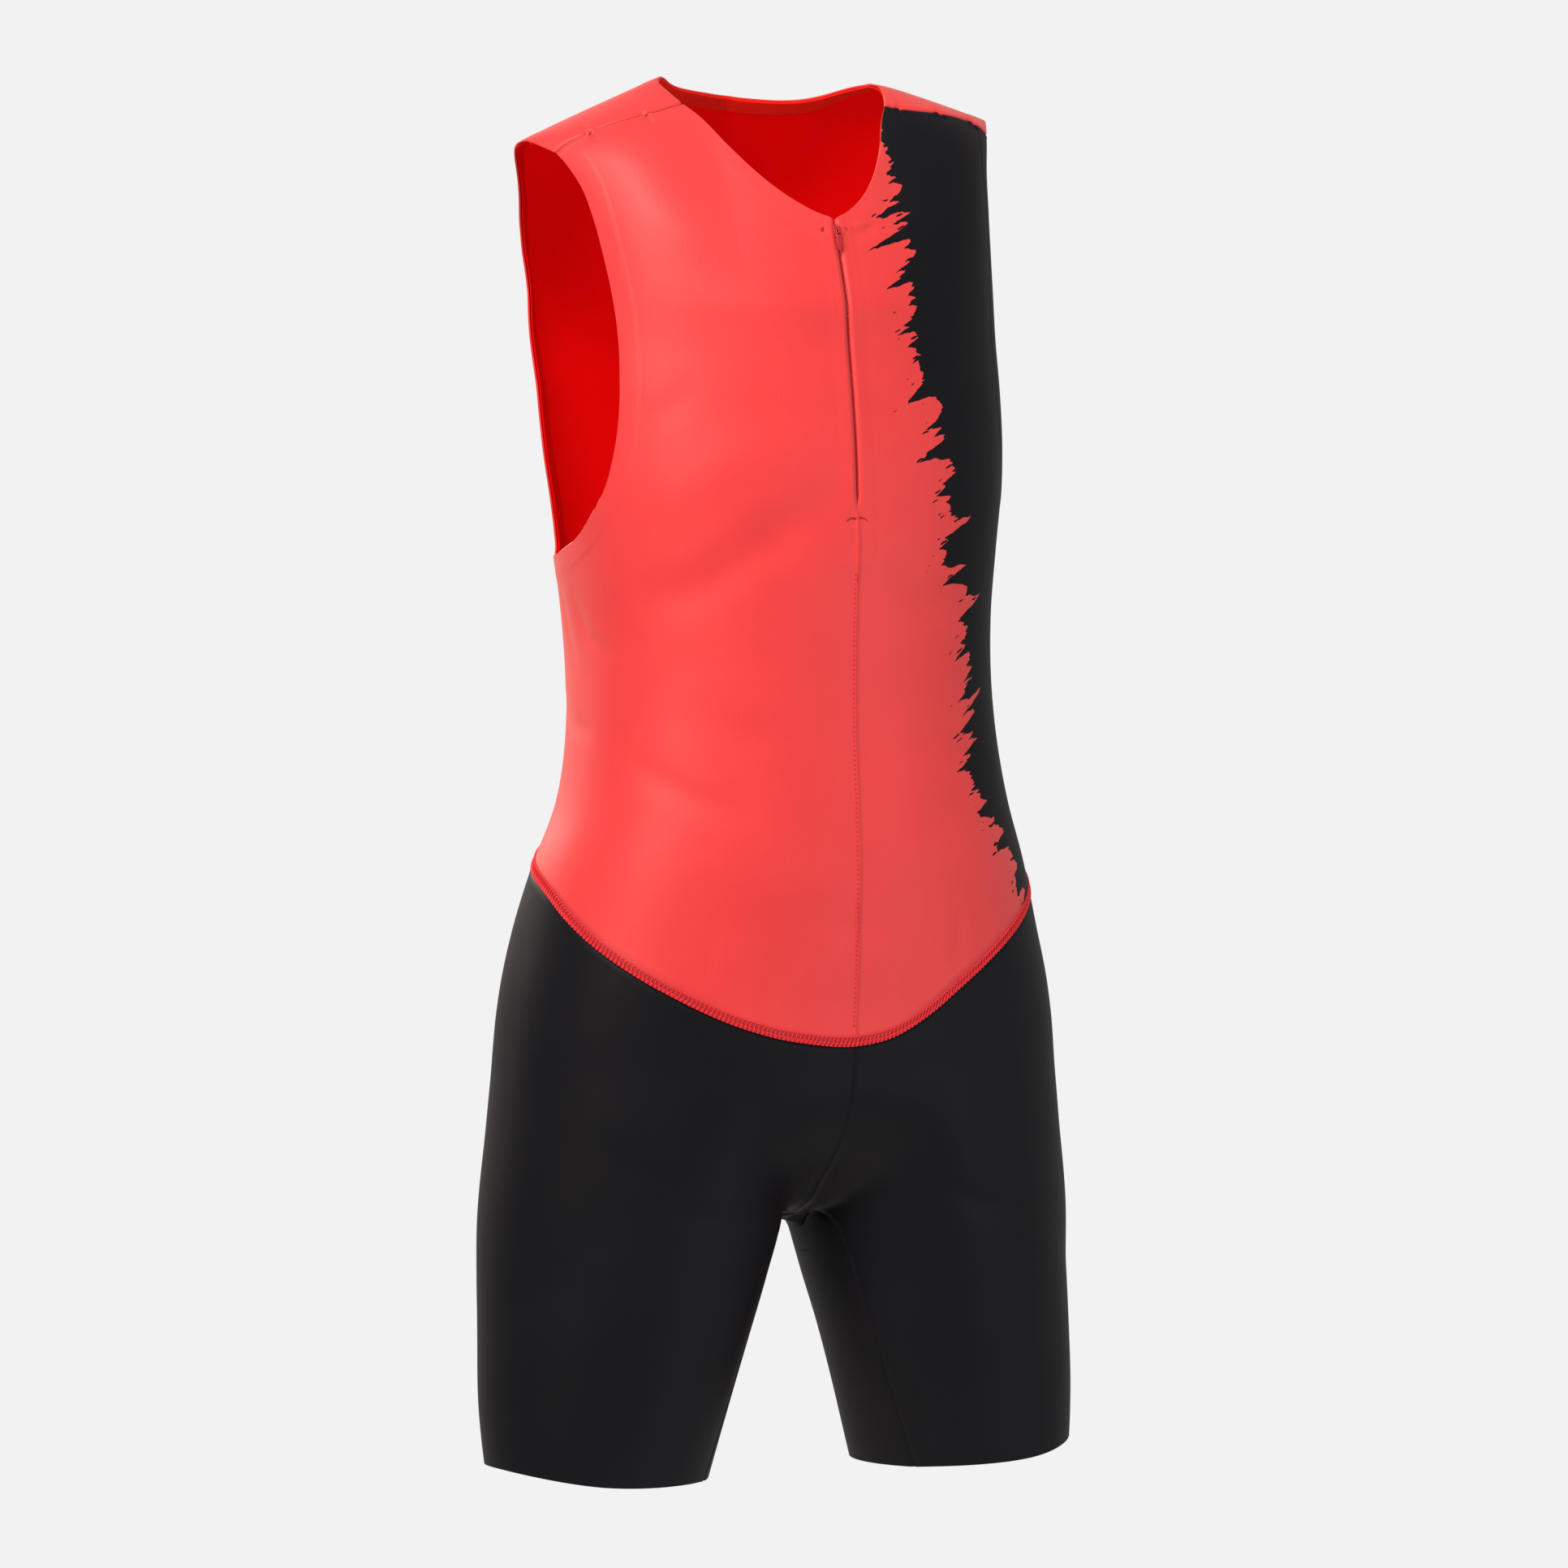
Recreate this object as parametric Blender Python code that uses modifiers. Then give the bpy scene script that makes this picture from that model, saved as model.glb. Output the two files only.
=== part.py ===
# Sleeveless sports jumpsuit, worn shape, empty inside. Metres, +Z up, front toward -Y.
# The origin lies midway between the two shoulder neck points.
import math
import bmesh
import bpy
import numpy as np
from mathutils import Matrix, Vector
from mathutils.bvhtree import BVHTree

for old in list(bpy.data.objects):
    bpy.data.objects.remove(old, do_unlink=True)

CLOTH = 0.0012
SEAM_GAP = 0.00036
FACING_CLOTH = 0.0010
FACING_CLEAR = 0.0006
FACING_GAP = 0.0005
NECK_HALF = 0.078
SHOULDER_SLOPE = 0.39
SHOULDER_TILT_RIGHT = 0.064
SHOULDER_TILT_LEFT = 0.105
NECK_SAG = 0.0105
NECK_SAG_AT = 0.060
CLOSE_FROM = -0.145
CROTCH_END = -0.7285
LEG_ASPECT = 0.90
ZIP_TOP = -0.0915
ZIP_END = -0.272
ZIP_OPENING = 0.0018
ZIP_TAPE_WIDTH = 0.021
ZIP_TAPE_END = -0.311
NECK_FACING_WIDTH = 0.011
ARM_FACING_WIDTH = 0.0135
SLIDER_LENGTH = 0.0085
SLIDER_WIDTH = 0.0056
SLIDER_THICK = 0.0026
PULL_LENGTH = 0.0145
PULL_WIDTH = 0.0036
PULL_THICK = 0.0011

# Sections of the trunk, level by level
BODY = (
    # height, half width, front depth, back depth, centre set back
    (0.040, 0.176, 0.100, 0.112, 0.012),
    (-0.020, 0.174, 0.101, 0.120, 0.012),
    (-0.040, 0.1640, 0.1015, 0.123, 0.012),
    (-0.060, 0.1555, 0.1025, 0.126, 0.012),
    (-0.090, 0.1500, 0.105, 0.129, 0.012),
    (-0.120, 0.1490, 0.1035, 0.130, 0.0115),
    (-0.160, 0.1502, 0.1055, 0.126, 0.0095),
    (-0.200, 0.1510, 0.112, 0.117, 0.005),
    (-0.235, 0.1500, 0.1165, 0.111, 0.0005),
    (-0.260, 0.1480, 0.118, 0.108, -0.003),
    (-0.300, 0.1430, 0.119, 0.1045, -0.0045),
    (-0.340, 0.1390, 0.117, 0.100, -0.007),
    (-0.380, 0.1384, 0.116, 0.092, -0.010),
    (-0.420, 0.1416, 0.117, 0.083, -0.013),
    (-0.460, 0.1496, 0.120, 0.079, -0.0125),
    (-0.500, 0.1640, 0.122, 0.083, -0.005),
    (-0.540, 0.1750, 0.121, 0.095, -0.002),
    (-0.580, 0.1840, 0.118, 0.104, -0.005),
    (-0.620, 0.1882, 0.1145, 0.109, -0.0075),
    (-0.650, 0.1865, 0.1085, 0.108, -0.0085),
    (-0.680, 0.1850, 0.0890, 0.098, -0.009),
    (-0.700, 0.1820, 0.0680, 0.081, -0.009),
    (-0.715, 0.1770, 0.0500, 0.060, -0.005),
    (-0.7285, 0.1650, 0.0160, 0.024, 0.004),
)
# Sections of one leg, an oval turned about its own centre
LEGS = (
    # height, centre out, centre back, half length, turn in degrees
    (-0.560, 0.090, -0.006, 0.030, 23.0),
    (-0.600, 0.091, -0.006, 0.066, 23.0),
    (-0.640, 0.094, -0.007, 0.085, 23.0),
    (-0.680, 0.0985, -0.0075, 0.0935, 23.0),
    (-0.720, 0.1045, -0.008, 0.0960, 23.0),
    (-0.760, 0.1116, -0.008, 0.0921, 23.0),
    (-0.800, 0.1188, -0.0092, 0.0863, 19.6),
    (-0.840, 0.1251, -0.0096, 0.0805, 12.0),
    (-0.870, 0.1285, -0.0100, 0.0755, 3.0),
    (-0.900, 0.1310, -0.0104, 0.0700, -6.0),
)
# Edges of the wearer's left half, mirrored for the right half
NECK_FRONT = (
    # out, back, height
    (0.0000, -0.0855, -0.0889),
    (0.0125, -0.0813, -0.0836),
    (0.0262, -0.0742, -0.0745),
    (0.0415, -0.0612, -0.0600),
    (0.0545, -0.0451, -0.0420),
    (0.0655, -0.0265, -0.0240),
    (0.0727, -0.0165, -0.0157),
)
NECK_BACK = (
    # out, back, height
    (0.0000, 0.0600, -0.0070),
    (0.0180, 0.0585, -0.0062),
    (0.0350, 0.0530, -0.0048),
    (0.0510, 0.0430, -0.0030),
    (0.0640, 0.0290, -0.0010),
    (0.0745, 0.0140, 0.0000),
    (0.0780, 0.0060, -0.0006),
    (0.0768, -0.0060, -0.0060),
    (0.0727, -0.0165, -0.0157),
)
SHOULDER_SEAM = (
    # out, back, height
    (0.0727, -0.0165, -0.0157),
    (0.0920, -0.0165, -0.0192),
    (0.1120, -0.0140, -0.0245),
    (0.1340, -0.0085, -0.0315),
    (0.1555, -0.0015, -0.0400),
)
ARM_FRONT = (
    # out, back, height
    (0.1270, 0.0570, -0.3035),
    (0.1375, 0.0330, -0.3025),
    (0.1418, 0.0150, -0.2985),
    (0.1439, -0.0094, -0.2905),
    (0.1432, -0.0310, -0.2750),
    (0.1415, -0.0458, -0.2570),
    (0.1385, -0.0525, -0.2360),
    (0.1360, -0.0550, -0.2120),
    (0.1347, -0.0535, -0.1860),
    (0.1345, -0.0499, -0.1600),
    (0.1357, -0.0441, -0.1340),
    (0.1374, -0.0360, -0.1090),
    (0.1405, -0.0284, -0.0858),
    (0.1444, -0.0190, -0.0650),
    (0.1500, -0.0069, -0.0494),
    (0.1555, -0.0015, -0.0400),
)
ARM_BACK = (
    # out, back, height
    (0.1270, 0.0570, -0.3035),
    (0.1275, 0.0630, -0.2985),
    (0.1290, 0.0665, -0.2880),
    (0.1315, 0.0685, -0.2700),
    (0.1340, 0.0680, -0.2400),
    (0.1360, 0.0720, -0.2000),
    (0.1355, 0.0776, -0.1560),
    (0.1358, 0.0792, -0.1250),
    (0.1420, 0.0765, -0.0940),
    (0.1484, 0.0655, -0.0730),
    (0.1558, 0.0520, -0.0548),
    (0.1625, 0.0360, -0.0420),
    (0.1630, 0.0206, -0.0350),
    (0.1600, 0.0080, -0.0365),
    (0.1555, -0.0015, -0.0400),
)
# Waist seam round the trunk, angle 0 in front and positive toward the wearer's left
WAIST = (
    # angle in degrees, height
    (-180.0, -0.468),
    (-140.0, -0.474),
    (-115.0, -0.488),
    (-97.0, -0.5035),
    (-84.0, -0.518),
    (-76.0, -0.532),
    (-67.0, -0.5495),
    (-56.0, -0.5703),
    (-42.0, -0.5909),
    (-30.0, -0.6015),
    (-15.0, -0.6080),
    (0.0, -0.6100),
    (16.0, -0.6037),
    (26.0, -0.5925),
    (39.0, -0.5710),
    (51.0, -0.5500),
    (68.0, -0.5245),
    (90.0, -0.5035),
    (115.0, -0.488),
    (140.0, -0.474),
    (180.0, -0.468),
)
# Leg hem height along the leg panel, from inner front round the outside to inner back
HEM = (
    # part of the way round, height on the right, height on the left
    (0.00, -0.8888, -0.8888),
    (0.25, -0.8865, -0.8845),
    (0.50, -0.8772, -0.8742),
    (0.75, -0.8820, -0.8800),
    (1.00, -0.8877, -0.8877),
)
# Edges of the inner leg panel on the left leg
INNER_FRONT = (
    # out, back, height
    (0.0000, -0.0325, -0.7240),
    (0.0095, -0.0350, -0.7225),
    (0.0170, -0.0430, -0.7245),
    (0.0225, -0.0510, -0.7340),
    (0.0290, -0.0533, -0.7500),
    (0.0414, -0.0538, -0.7884),
    (0.0565, -0.0530, -0.8337),
    (0.0715, -0.0525, -0.8765),
    (0.0757, -0.0521, -0.8885),
)
INNER_BACK = (
    # out, back, height
    (0.0000, 0.0420, -0.7250),
    (0.0110, 0.0445, -0.7235),
    (0.0190, 0.0490, -0.7260),
    (0.0250, 0.0520, -0.7350),
    (0.0320, 0.0530, -0.7500),
    (0.0450, 0.0510, -0.7884),
    (0.0610, 0.0470, -0.8337),
    (0.0760, 0.0430, -0.8765),
    (0.0803, 0.0418, -0.8875),
)


def spline(table, column, at):
    rows = np.array(table, float)
    order = np.argsort(rows[:, 0])
    xs = rows[order, 0]
    ys = rows[order, column]
    slope = np.gradient(ys, xs)
    at = np.clip(np.asarray(at, float), xs[0], xs[-1])
    cell = np.clip(np.searchsorted(xs, at) - 1, 0, len(xs) - 2)
    width = xs[cell + 1] - xs[cell]
    t = (at - xs[cell]) / width
    low = ys[cell] * (2 * t ** 3 - 3 * t ** 2 + 1) + slope[cell] * width * (t ** 3 - 2 * t ** 2 + t)
    high = ys[cell + 1] * (3 * t ** 2 - 2 * t ** 3) + slope[cell + 1] * width * (t ** 3 - t ** 2)
    return low + high


def ease(t):
    t = np.clip(t, 0.0, 1.0)
    return t * t * (3 - 2 * t)


def unit(v):
    return v / np.maximum(np.linalg.norm(v, axis=-1, keepdims=True), 1e-12)


# Signed distance, negative inside, of the closed form that the cloth follows
def form_distance(p):
    x, y, z = p[..., 0], p[..., 1], p[..., 2]
    out = np.abs(x)
    low = np.minimum(z + 0.62, 0)
    level = z - low * 0.42 * ease((out - 0.005) / 0.10)
    wide = spline(BODY, 1, level)
    front = spline(BODY, 2, level)
    back = spline(BODY, 3, level)
    mid = spline(BODY, 4, level)
    top = -SHOULDER_SLOPE * (out - NECK_HALF)
    t = np.clip((z - CLOSE_FROM) / (top - CLOSE_FROM), 0.0, 1.0)
    side = ease((out - 0.06) / 0.09)
    dy = y - mid - 0.14 * (out - 0.09) * t * t
    ahead = dy < 0
    power = np.where(ahead, 1.3 + 0.7 * side, 1.8 + 0.3 * side)
    close = np.maximum(1 - t ** power, 1e-9) ** (1 / power)
    depth = np.where(ahead, front + mid, back - mid) * close
    n = np.where(ahead, 2.25, 2.45 + 0.55 * ease((z + 0.20) / 0.09))
    blade = 0.005 * ease((z + 0.135) / 0.035) - 0.0026 * np.exp(-((z + 0.145) / 0.018) ** 2)
    wide = wide + np.where(ahead, 0, blade)
    gauge = ((out / wide) ** n + (np.abs(dy) / depth) ** n) ** (1 / n)
    trunk = np.hypot(out, dy) * (1 - 1 / np.maximum(gauge, 1e-6))
    trunk = np.maximum(trunk, -0.2)
    trunk = np.where(z > top, np.maximum(trunk, z - top), trunk)
    below = CROTCH_END - level
    trunk = np.where(below > 0, np.maximum(trunk, 0) + below, trunk)
    long_r = spline(LEGS, 3, z)
    turn = np.radians(spline(LEGS, 4, z))
    dx = out - spline(LEGS, 1, z)
    dl = y - spline(LEGS, 2, z)
    a = dx * np.cos(turn) + dl * np.sin(turn)
    b = dl * np.cos(turn) - dx * np.sin(turn)
    oval = np.maximum(np.hypot(a / long_r, b / (long_r * LEG_ASPECT)), 1e-6)
    leg = np.maximum(np.hypot(dx, dl) * (1 - 1 / oval), -0.2)
    leg = np.where(z > -0.57, leg + z + 0.57, leg)
    k = 0.006 + 0.024 * ease((out - 0.015) / 0.07)
    h = np.maximum(k - np.abs(trunk - leg), 0) / k
    return np.minimum(trunk, leg) - h * h * k / 4


def form_normal(p):
    step = 0.0015
    parts = []
    for axis in range(3):
        shift = np.zeros(3)
        shift[axis] = step
        parts.append(form_distance(p + shift) - form_distance(p - shift))
    return unit(np.stack(parts, -1))


# Point where a ray from inside first leaves the form
def cast(start, toward, reach=0.30):
    toward = unit(np.asarray(toward, float))
    step = reach / 24
    low = np.zeros(toward.shape[:-1])
    found = np.zeros(toward.shape[:-1], bool)
    for k in range(1, 25):
        outside = form_distance(start + toward * (k * step)) > 0
        found = found | outside
        low = np.where(found, low, k * step)
    high = low + step
    for _ in range(14):
        half = (low + high) / 2
        inside = form_distance(start + toward * half[..., None]) < 0
        low = np.where(inside, half, low)
        high = np.where(inside, high, half)
    return start + toward * low[..., None]


# Middle line of trunk and legs, from which the cloth is reached
def spine(p):
    x, z = p[..., 0], p[..., 2]
    mid = spline(BODY, 4, z)
    up = ease((z + 0.26) / 0.17)
    down = ease((-0.60 - z) / 0.13)
    out = 0.09 * up * np.minimum(np.abs(x) / 0.05, 1) + down * spline(LEGS, 1, z)
    sy = (mid * (1 - up) + 0.012 * up) * (1 - down) + down * spline(LEGS, 2, z)
    sz = z * (1 - up) + np.minimum(z, -0.135) * up
    return np.stack([np.sign(x) * out, sy, sz], -1)


def on_form(p):
    p = np.asarray(p, float)
    start = spine(p)
    return cast(start, p - start)


# Curve through table rows, evenly spaced along its length or by given fractions
def curve(table, count, side=1):
    rows = np.array(table, float)
    knots = np.concatenate([[0], np.cumsum(np.linalg.norm(np.diff(rows, axis=0), axis=1))])
    keyed = np.column_stack([knots, rows])
    fractions = np.linspace(0, 1, count) if np.isscalar(count) else np.asarray(count)
    at = fractions * knots[-1]
    pts = np.stack([spline(keyed, k, at) for k in (1, 2, 3)], -1)
    pts[:, 0] *= side
    return pts


def part_of(table, first, last):
    return table[first:last + 1]


# Points at one level of the trunk by signed angle, 0 in front
def round_trunk(angles, heights):
    a = np.radians(np.asarray(angles, float))
    z = np.asarray(heights, float) + 0 * a
    start = np.stack([0 * a, spline(BODY, 4, z), z], -1)
    return cast(start, np.stack([np.sin(a), -np.cos(a), 0 * a], -1))


# Grid between four edges, every inner point put on the form
def patch(low, high, left, right):
    rows, cols = len(left), len(low)
    u = np.linspace(0, 1, cols)[None, :, None]
    v = np.linspace(0, 1, rows)[:, None, None]
    grid = (1 - v) * low[None] + v * high[None] + (1 - u) * left[:, None] + u * right[:, None]
    grid = grid - (1 - u) * (1 - v) * low[0] - u * (1 - v) * low[-1]
    grid = grid - (1 - u) * v * high[0] - u * v * high[-1]
    return grid


def settle(grid):
    grid = grid.copy()
    grid[1:-1, 1:-1] = on_form(grid[1:-1, 1:-1])
    return grid


SIDE_ANGLE = 117.0
FRONT_COLS = 12
BACK_COLS = 7
LOW_ROWS = 9
MID_ROWS = 11
TOP_ROWS = 8


def waist_angles(side):
    front = np.linspace(0, SIDE_ANGLE, FRONT_COLS + 1)
    back = np.linspace(SIDE_ANGLE, 180, BACK_COLS + 1)
    return front * side, back * side


def waist_points(angles):
    return round_trunk(angles, spline(WAIST, 1, angles))


def centre_line(heights, back):
    z = np.asarray(heights, float)
    start = np.stack([0 * z, 0.004 + 0 * z, z], -1)
    toward = np.stack([0 * z, (1 if back else -1) + 0 * z, 0 * z], -1)
    return cast(start, toward)


def side_seam(side):
    t = np.linspace(0, 1, LOW_ROWS + 1)
    low = spline(WAIST, 1, SIDE_ANGLE * side)
    end = ARM_FRONT[0]
    last = math.degrees(math.atan2(end[0], float(spline(BODY, 4, end[2])) - end[1]))
    heights = low + (end[2] - low) * t
    return round_trunk((SIDE_ANGLE + (last - SIDE_ANGLE) * t) * side, heights)


def front_half(side):
    front_angles, _ = waist_angles(side)
    low = waist_points(front_angles)
    high = on_form(curve(SHOULDER_SEAM, FRONT_COLS + 1, side))
    centre = centre_line(np.linspace(low[0][2], -0.345, LOW_ROWS + 1), False)
    centre2 = centre_line(np.linspace(-0.345, NECK_FRONT[0][2], MID_ROWS + 1), False)
    neck = on_form(curve(NECK_FRONT, TOP_ROWS + 1, side))
    left = np.concatenate([centre, centre2[1:], neck[1:]])
    arm_low = on_form(curve(part_of(ARM_FRONT, 0, 11), MID_ROWS + 1, side))
    arm_high = on_form(curve(part_of(ARM_FRONT, 11, 15), TOP_ROWS + 1, side))
    right = np.concatenate([side_seam(side), arm_low[1:], arm_high[1:]])
    left[LOW_ROWS + MID_ROWS] = centre2[-1]
    high[0] = left[-1]
    high[-1] = right[-1]
    return settle(patch(low, high, left, right))


def back_half(side):
    _, back_angles = waist_angles(side)
    low = waist_points(back_angles[::-1])
    high = on_form(curve(SHOULDER_SEAM, BACK_COLS + 1, side))
    centre = centre_line(np.linspace(low[0][2], -0.30, LOW_ROWS + 1), True)
    centre2 = centre_line(np.linspace(-0.30, NECK_BACK[0][2], MID_ROWS + 1), True)
    neck = on_form(curve(NECK_BACK, TOP_ROWS + 1, side))
    left = np.concatenate([centre, centre2[1:], neck[1:]])
    arm_low = on_form(curve(part_of(ARM_BACK, 0, 9), MID_ROWS + 1, side))
    arm_high = on_form(curve(part_of(ARM_BACK, 9, 14), TOP_ROWS + 1, side))
    right = np.concatenate([side_seam(side), arm_low[1:], arm_high[1:]])
    high[0] = left[-1]
    high[-1] = right[-1]
    return settle(patch(low, high, left, right))


def even(points, count):
    length = np.concatenate([[0], np.cumsum(np.linalg.norm(np.diff(points, axis=0), axis=1))])
    at = np.linspace(0, length[-1], count)
    return np.stack([np.interp(at, length, points[:, k]) for k in range(3)], -1)


LEG_UP_ROWS = 8
LEG_LOW_ROWS = 9
INNER_COLS = 4


def leg_edges(side):
    low_front = waist_points(np.array([0.0]))[0]
    low_back = waist_points(np.array([180.0]))[0]
    tip_front = on_form(np.array([INNER_FRONT[0]]))[0]
    tip_back = on_form(np.array([INNER_BACK[0]]))[0]
    front = even(centre_line(np.linspace(low_front[2], tip_front[2], 120), False), LEG_UP_ROWS + 1)
    back = even(centre_line(np.linspace(low_back[2], tip_back[2], 120), True), LEG_UP_ROWS + 1)
    inner_front = on_form(curve(INNER_FRONT, LEG_LOW_ROWS + 1, side))
    inner_back = on_form(curve(INNER_BACK, LEG_LOW_ROWS + 1, side))
    left = np.concatenate([front, inner_front[1:]])
    right = np.concatenate([back, inner_back[1:]])
    return left, right, inner_front, inner_back


def leg_panel(side):
    left, right, _, _ = leg_edges(side)
    front_angles, back_angles = waist_angles(1)
    angles = np.concatenate([front_angles, back_angles[1:]])
    u = angles / 180.0
    rows = len(left)
    v = np.concatenate([
        np.linspace(0, 0.44, LEG_UP_ROWS + 1),
        np.linspace(0.44, 1, LEG_LOW_ROWS + 1)[1:],
    ])
    low = spline(WAIST, 1, angles * side)
    hem = spline(HEM, 1 if side < 0 else 2, u)
    grid = np.zeros((rows, len(u), 3))
    for i in range(rows):
        t = v[i]
        k = ease(t / 0.44)
        level = (1 - t) * low + t * hem
        level = level + ease(1 - u / 0.34) * (left[i][2] - level[0])
        level = level + ease((u - 0.70) / 0.30) * (right[i][2] - level[-1])
        out = k * spline(LEGS, 1, level) * (0.85 + 0.15 * ease((t - 0.44) / 0.15))
        deep = (1 - k) * spline(BODY, 4, level) + k * spline(LEGS, 2, level)
        first = math.atan2(side * left[i][0] - out[0], -(left[i][1] - deep[0]))
        last = math.atan2(side * right[i][0] - out[-1], -(right[i][1] - deep[-1]))
        if last < 1.0:
            last += 2 * math.pi
        turn = first + (last - first) * u
        start = np.stack([side * out, deep, level], -1)
        toward = np.stack([side * np.sin(turn), -np.cos(turn), 0 * turn], -1)
        grid[i] = cast(start, toward)
        grid[i, 0] = left[i]
        grid[i, -1] = right[i]
    grid[0] = waist_points(angles * side)
    return grid


# Rows over the crotch from the right hem to the left hem
def inner_panel():
    rows = []
    for side in (-1, 1):
        _, _, front, back = leg_edges(side)
        half = []
        for i in range(len(front)):
            k = float(ease(i / LEG_LOW_ROWS / 0.35))
            level = (front[i][2] + back[i][2]) / 2
            start = np.array([
                side * k * float(spline(LEGS, 1, level)),
                0.004 * (1 - k) + k * float(spline(LEGS, 2, level)),
                level + (1 - k) * 0.06,
            ])
            a = unit(front[i] - start)
            b = unit(back[i] - start)
            angle = math.acos(float(np.clip(a @ b, -1, 1)))
            t = np.linspace(0, 1, INNER_COLS + 1)[:, None]
            toward = (np.sin((1 - t) * angle) * a + np.sin(t * angle) * b) / math.sin(angle)
            row = cast(start, toward)
            row[0] = front[i]
            row[-1] = back[i]
            half.append(row)
        rows = half[::-1][:-1] + rows if side < 0 else rows + half
    return np.array(rows)


# Moves one edge of a grid back inside its own panel
def trim(grid, edge, amount, first=0, last=None):
    take = {
        "low": (grid[0], grid[1]),
        "high": (grid[-1], grid[-2]),
        "left": (grid[:, 0], grid[:, 1]),
        "right": (grid[:, -1], grid[:, -2]),
    }
    line, inner = (part.copy() for part in take[edge])
    tangent = unit(np.gradient(line, axis=0))
    across = unit(np.cross(form_normal(line), tangent))
    sign = np.sign(np.sum(across * (inner - line), axis=-1, keepdims=True))
    moved = line + across * sign * amount
    span = slice(first, last)
    if edge == "low":
        grid[0, span] = moved[span]
    if edge == "high":
        grid[-1, span] = moved[span]
    if edge == "left":
        grid[span, 0] = moved[span]
    if edge == "right":
        grid[span, -1] = moved[span]


# The worn garment leans: wearer's right shoulder a little lower than the left
def lean(p):
    p = np.array(p, float)
    out = np.maximum(np.abs(p[..., 0]) - NECK_HALF, 0)
    tilt = np.where(p[..., 0] > 0, SHOULDER_TILT_LEFT, -SHOULDER_TILT_RIGHT)
    p[..., 2] += tilt * out * ease((p[..., 2] + 0.17) / 0.12)
    off = p[..., 0] - NECK_SAG_AT
    sag = NECK_SAG * np.exp(-(off / np.where(off > 0, 0.019, 0.031)) ** 2)
    p[..., 2] -= sag * ease((p[..., 1] + 0.004) / 0.020) * ease((p[..., 2] + 0.09) / 0.06)
    return p


garment = bpy.data.collections.new("sports_jumpsuit")
bpy.context.scene.collection.children.link(garment)
cutters = bpy.data.collections.new("cutters")
bpy.context.scene.collection.children.link(cutters)
cutters.hide_render = True


def paint(name, colour, roughness, metallic=0.0):
    material = bpy.data.materials.new(name)
    material.use_nodes = True
    shader = material.node_tree.nodes["Principled BSDF"]
    shader.inputs["Base Color"].default_value = (*colour, 1.0)
    shader.inputs["Roughness"].default_value = roughness
    shader.inputs["Metallic"].default_value = metallic
    return material


def grid_faces(grid, flip, first=0):
    rows, cols = grid.shape[:2]
    faces = []
    for i in range(rows - 1):
        for j in range(cols - 1):
            a, b = i * cols + j + first, i * cols + j + 1 + first
            for face in ([a, b, b + cols], [a, b + cols, a + cols]):
                faces.append(face[::-1] if flip else face)
    return faces


def faces_outward(grid):
    a = grid[1:, :-1] - grid[:-1, :-1]
    b = grid[:-1, 1:] - grid[:-1, :-1]
    normals = np.cross(b, a)
    middle = (grid[1:, 1:] + grid[:-1, :-1]) / 2
    return float(np.sum(normals * form_normal(middle))) > 0


outer_points = []
outer_faces = []


# One cloth panel: an open sheet through the middle of the wall, thickened both ways
def cloth(name, grids, material):
    points = []
    faces = []
    for grid in grids:
        faces += grid_faces(grid, not faces_outward(grid), len(points))
        points += list(lean(grid - form_normal(grid) * CLOTH / 2).reshape(-1, 3))
        outer_points.extend(lean(grid).reshape(-1, 3))
    outer_faces.extend([[k + len(outer_points) - len(points) for k in f] for f in faces])
    mesh = bpy.data.meshes.new(name)
    mesh.from_pydata([tuple(p) for p in points], [], faces)
    mesh.materials.append(material)
    work = bmesh.new()
    work.from_mesh(mesh)
    bmesh.ops.remove_doubles(work, verts=work.verts, dist=0.00002)
    work.to_mesh(mesh)
    work.free()
    obj = bpy.data.objects.new(name, mesh)
    garment.objects.link(obj)
    wall = obj.modifiers.new("wall", "SOLIDIFY")
    wall.thickness = CLOTH
    wall.offset = 0
    wall.use_quality_normals = True
    return obj


red_cloth = paint("coral_knit", (0.98, 0.115, 0.095), 0.62)
black_cloth = paint("black_knit", (0.014, 0.013, 0.016), 0.66)
facing_cloth = paint("facing_knit", (0.80, 0.02, 0.015), 0.6)
zip_cloth = paint("zip_tape", (0.45, 0.01, 0.02), 0.6)
zip_metal = paint("lacquered_zinc", (0.62, 0.03, 0.05), 0.35)

HALF_GAP = SEAM_GAP / 2
WAIST_TRIM = 0.00027
SHOULDER_TRIM = 0.00027
CROTCH_TRIM = 0.00030


def opening_half(z):
    return HALF_GAP + (ZIP_OPENING / 2 - HALF_GAP) * ease((z - ZIP_END) / 0.012)


arm_lines = {-1: [], 1: []}
neck_lines = {-1: [], 1: []}
for side, name in ((-1, "front_right"), (1, "front_left")):
    grid = front_half(side)
    arm_lines[side].append(grid[LOW_ROWS:, -1].copy())
    neck_lines[side].append(grid[LOW_ROWS + MID_ROWS:, 0].copy())
    trim(grid, "low", WAIST_TRIM)
    trim(grid, "high", SHOULDER_TRIM)
    trim(grid, "right", HALF_GAP, 0, LOW_ROWS + 1)
    seam = slice(0, LOW_ROWS + MID_ROWS + 1)
    grid[seam, 0, 0] = side * opening_half(grid[seam, 0, 2])
    cloth(name, [grid], red_cloth)

backs = []
for side in (-1, 1):
    grid = back_half(side)
    arm_lines[side].append(grid[LOW_ROWS:, -1].copy())
    neck_lines[side].append(grid[LOW_ROWS + MID_ROWS:, 0].copy())
    trim(grid, "low", WAIST_TRIM)
    trim(grid, "high", SHOULDER_TRIM)
    trim(grid, "right", HALF_GAP, 0, LOW_ROWS + 1)
    grid[:LOW_ROWS + MID_ROWS + 1, 0, 0] = 0.0
    backs.append(grid)
cloth("back", backs, red_cloth)

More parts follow.
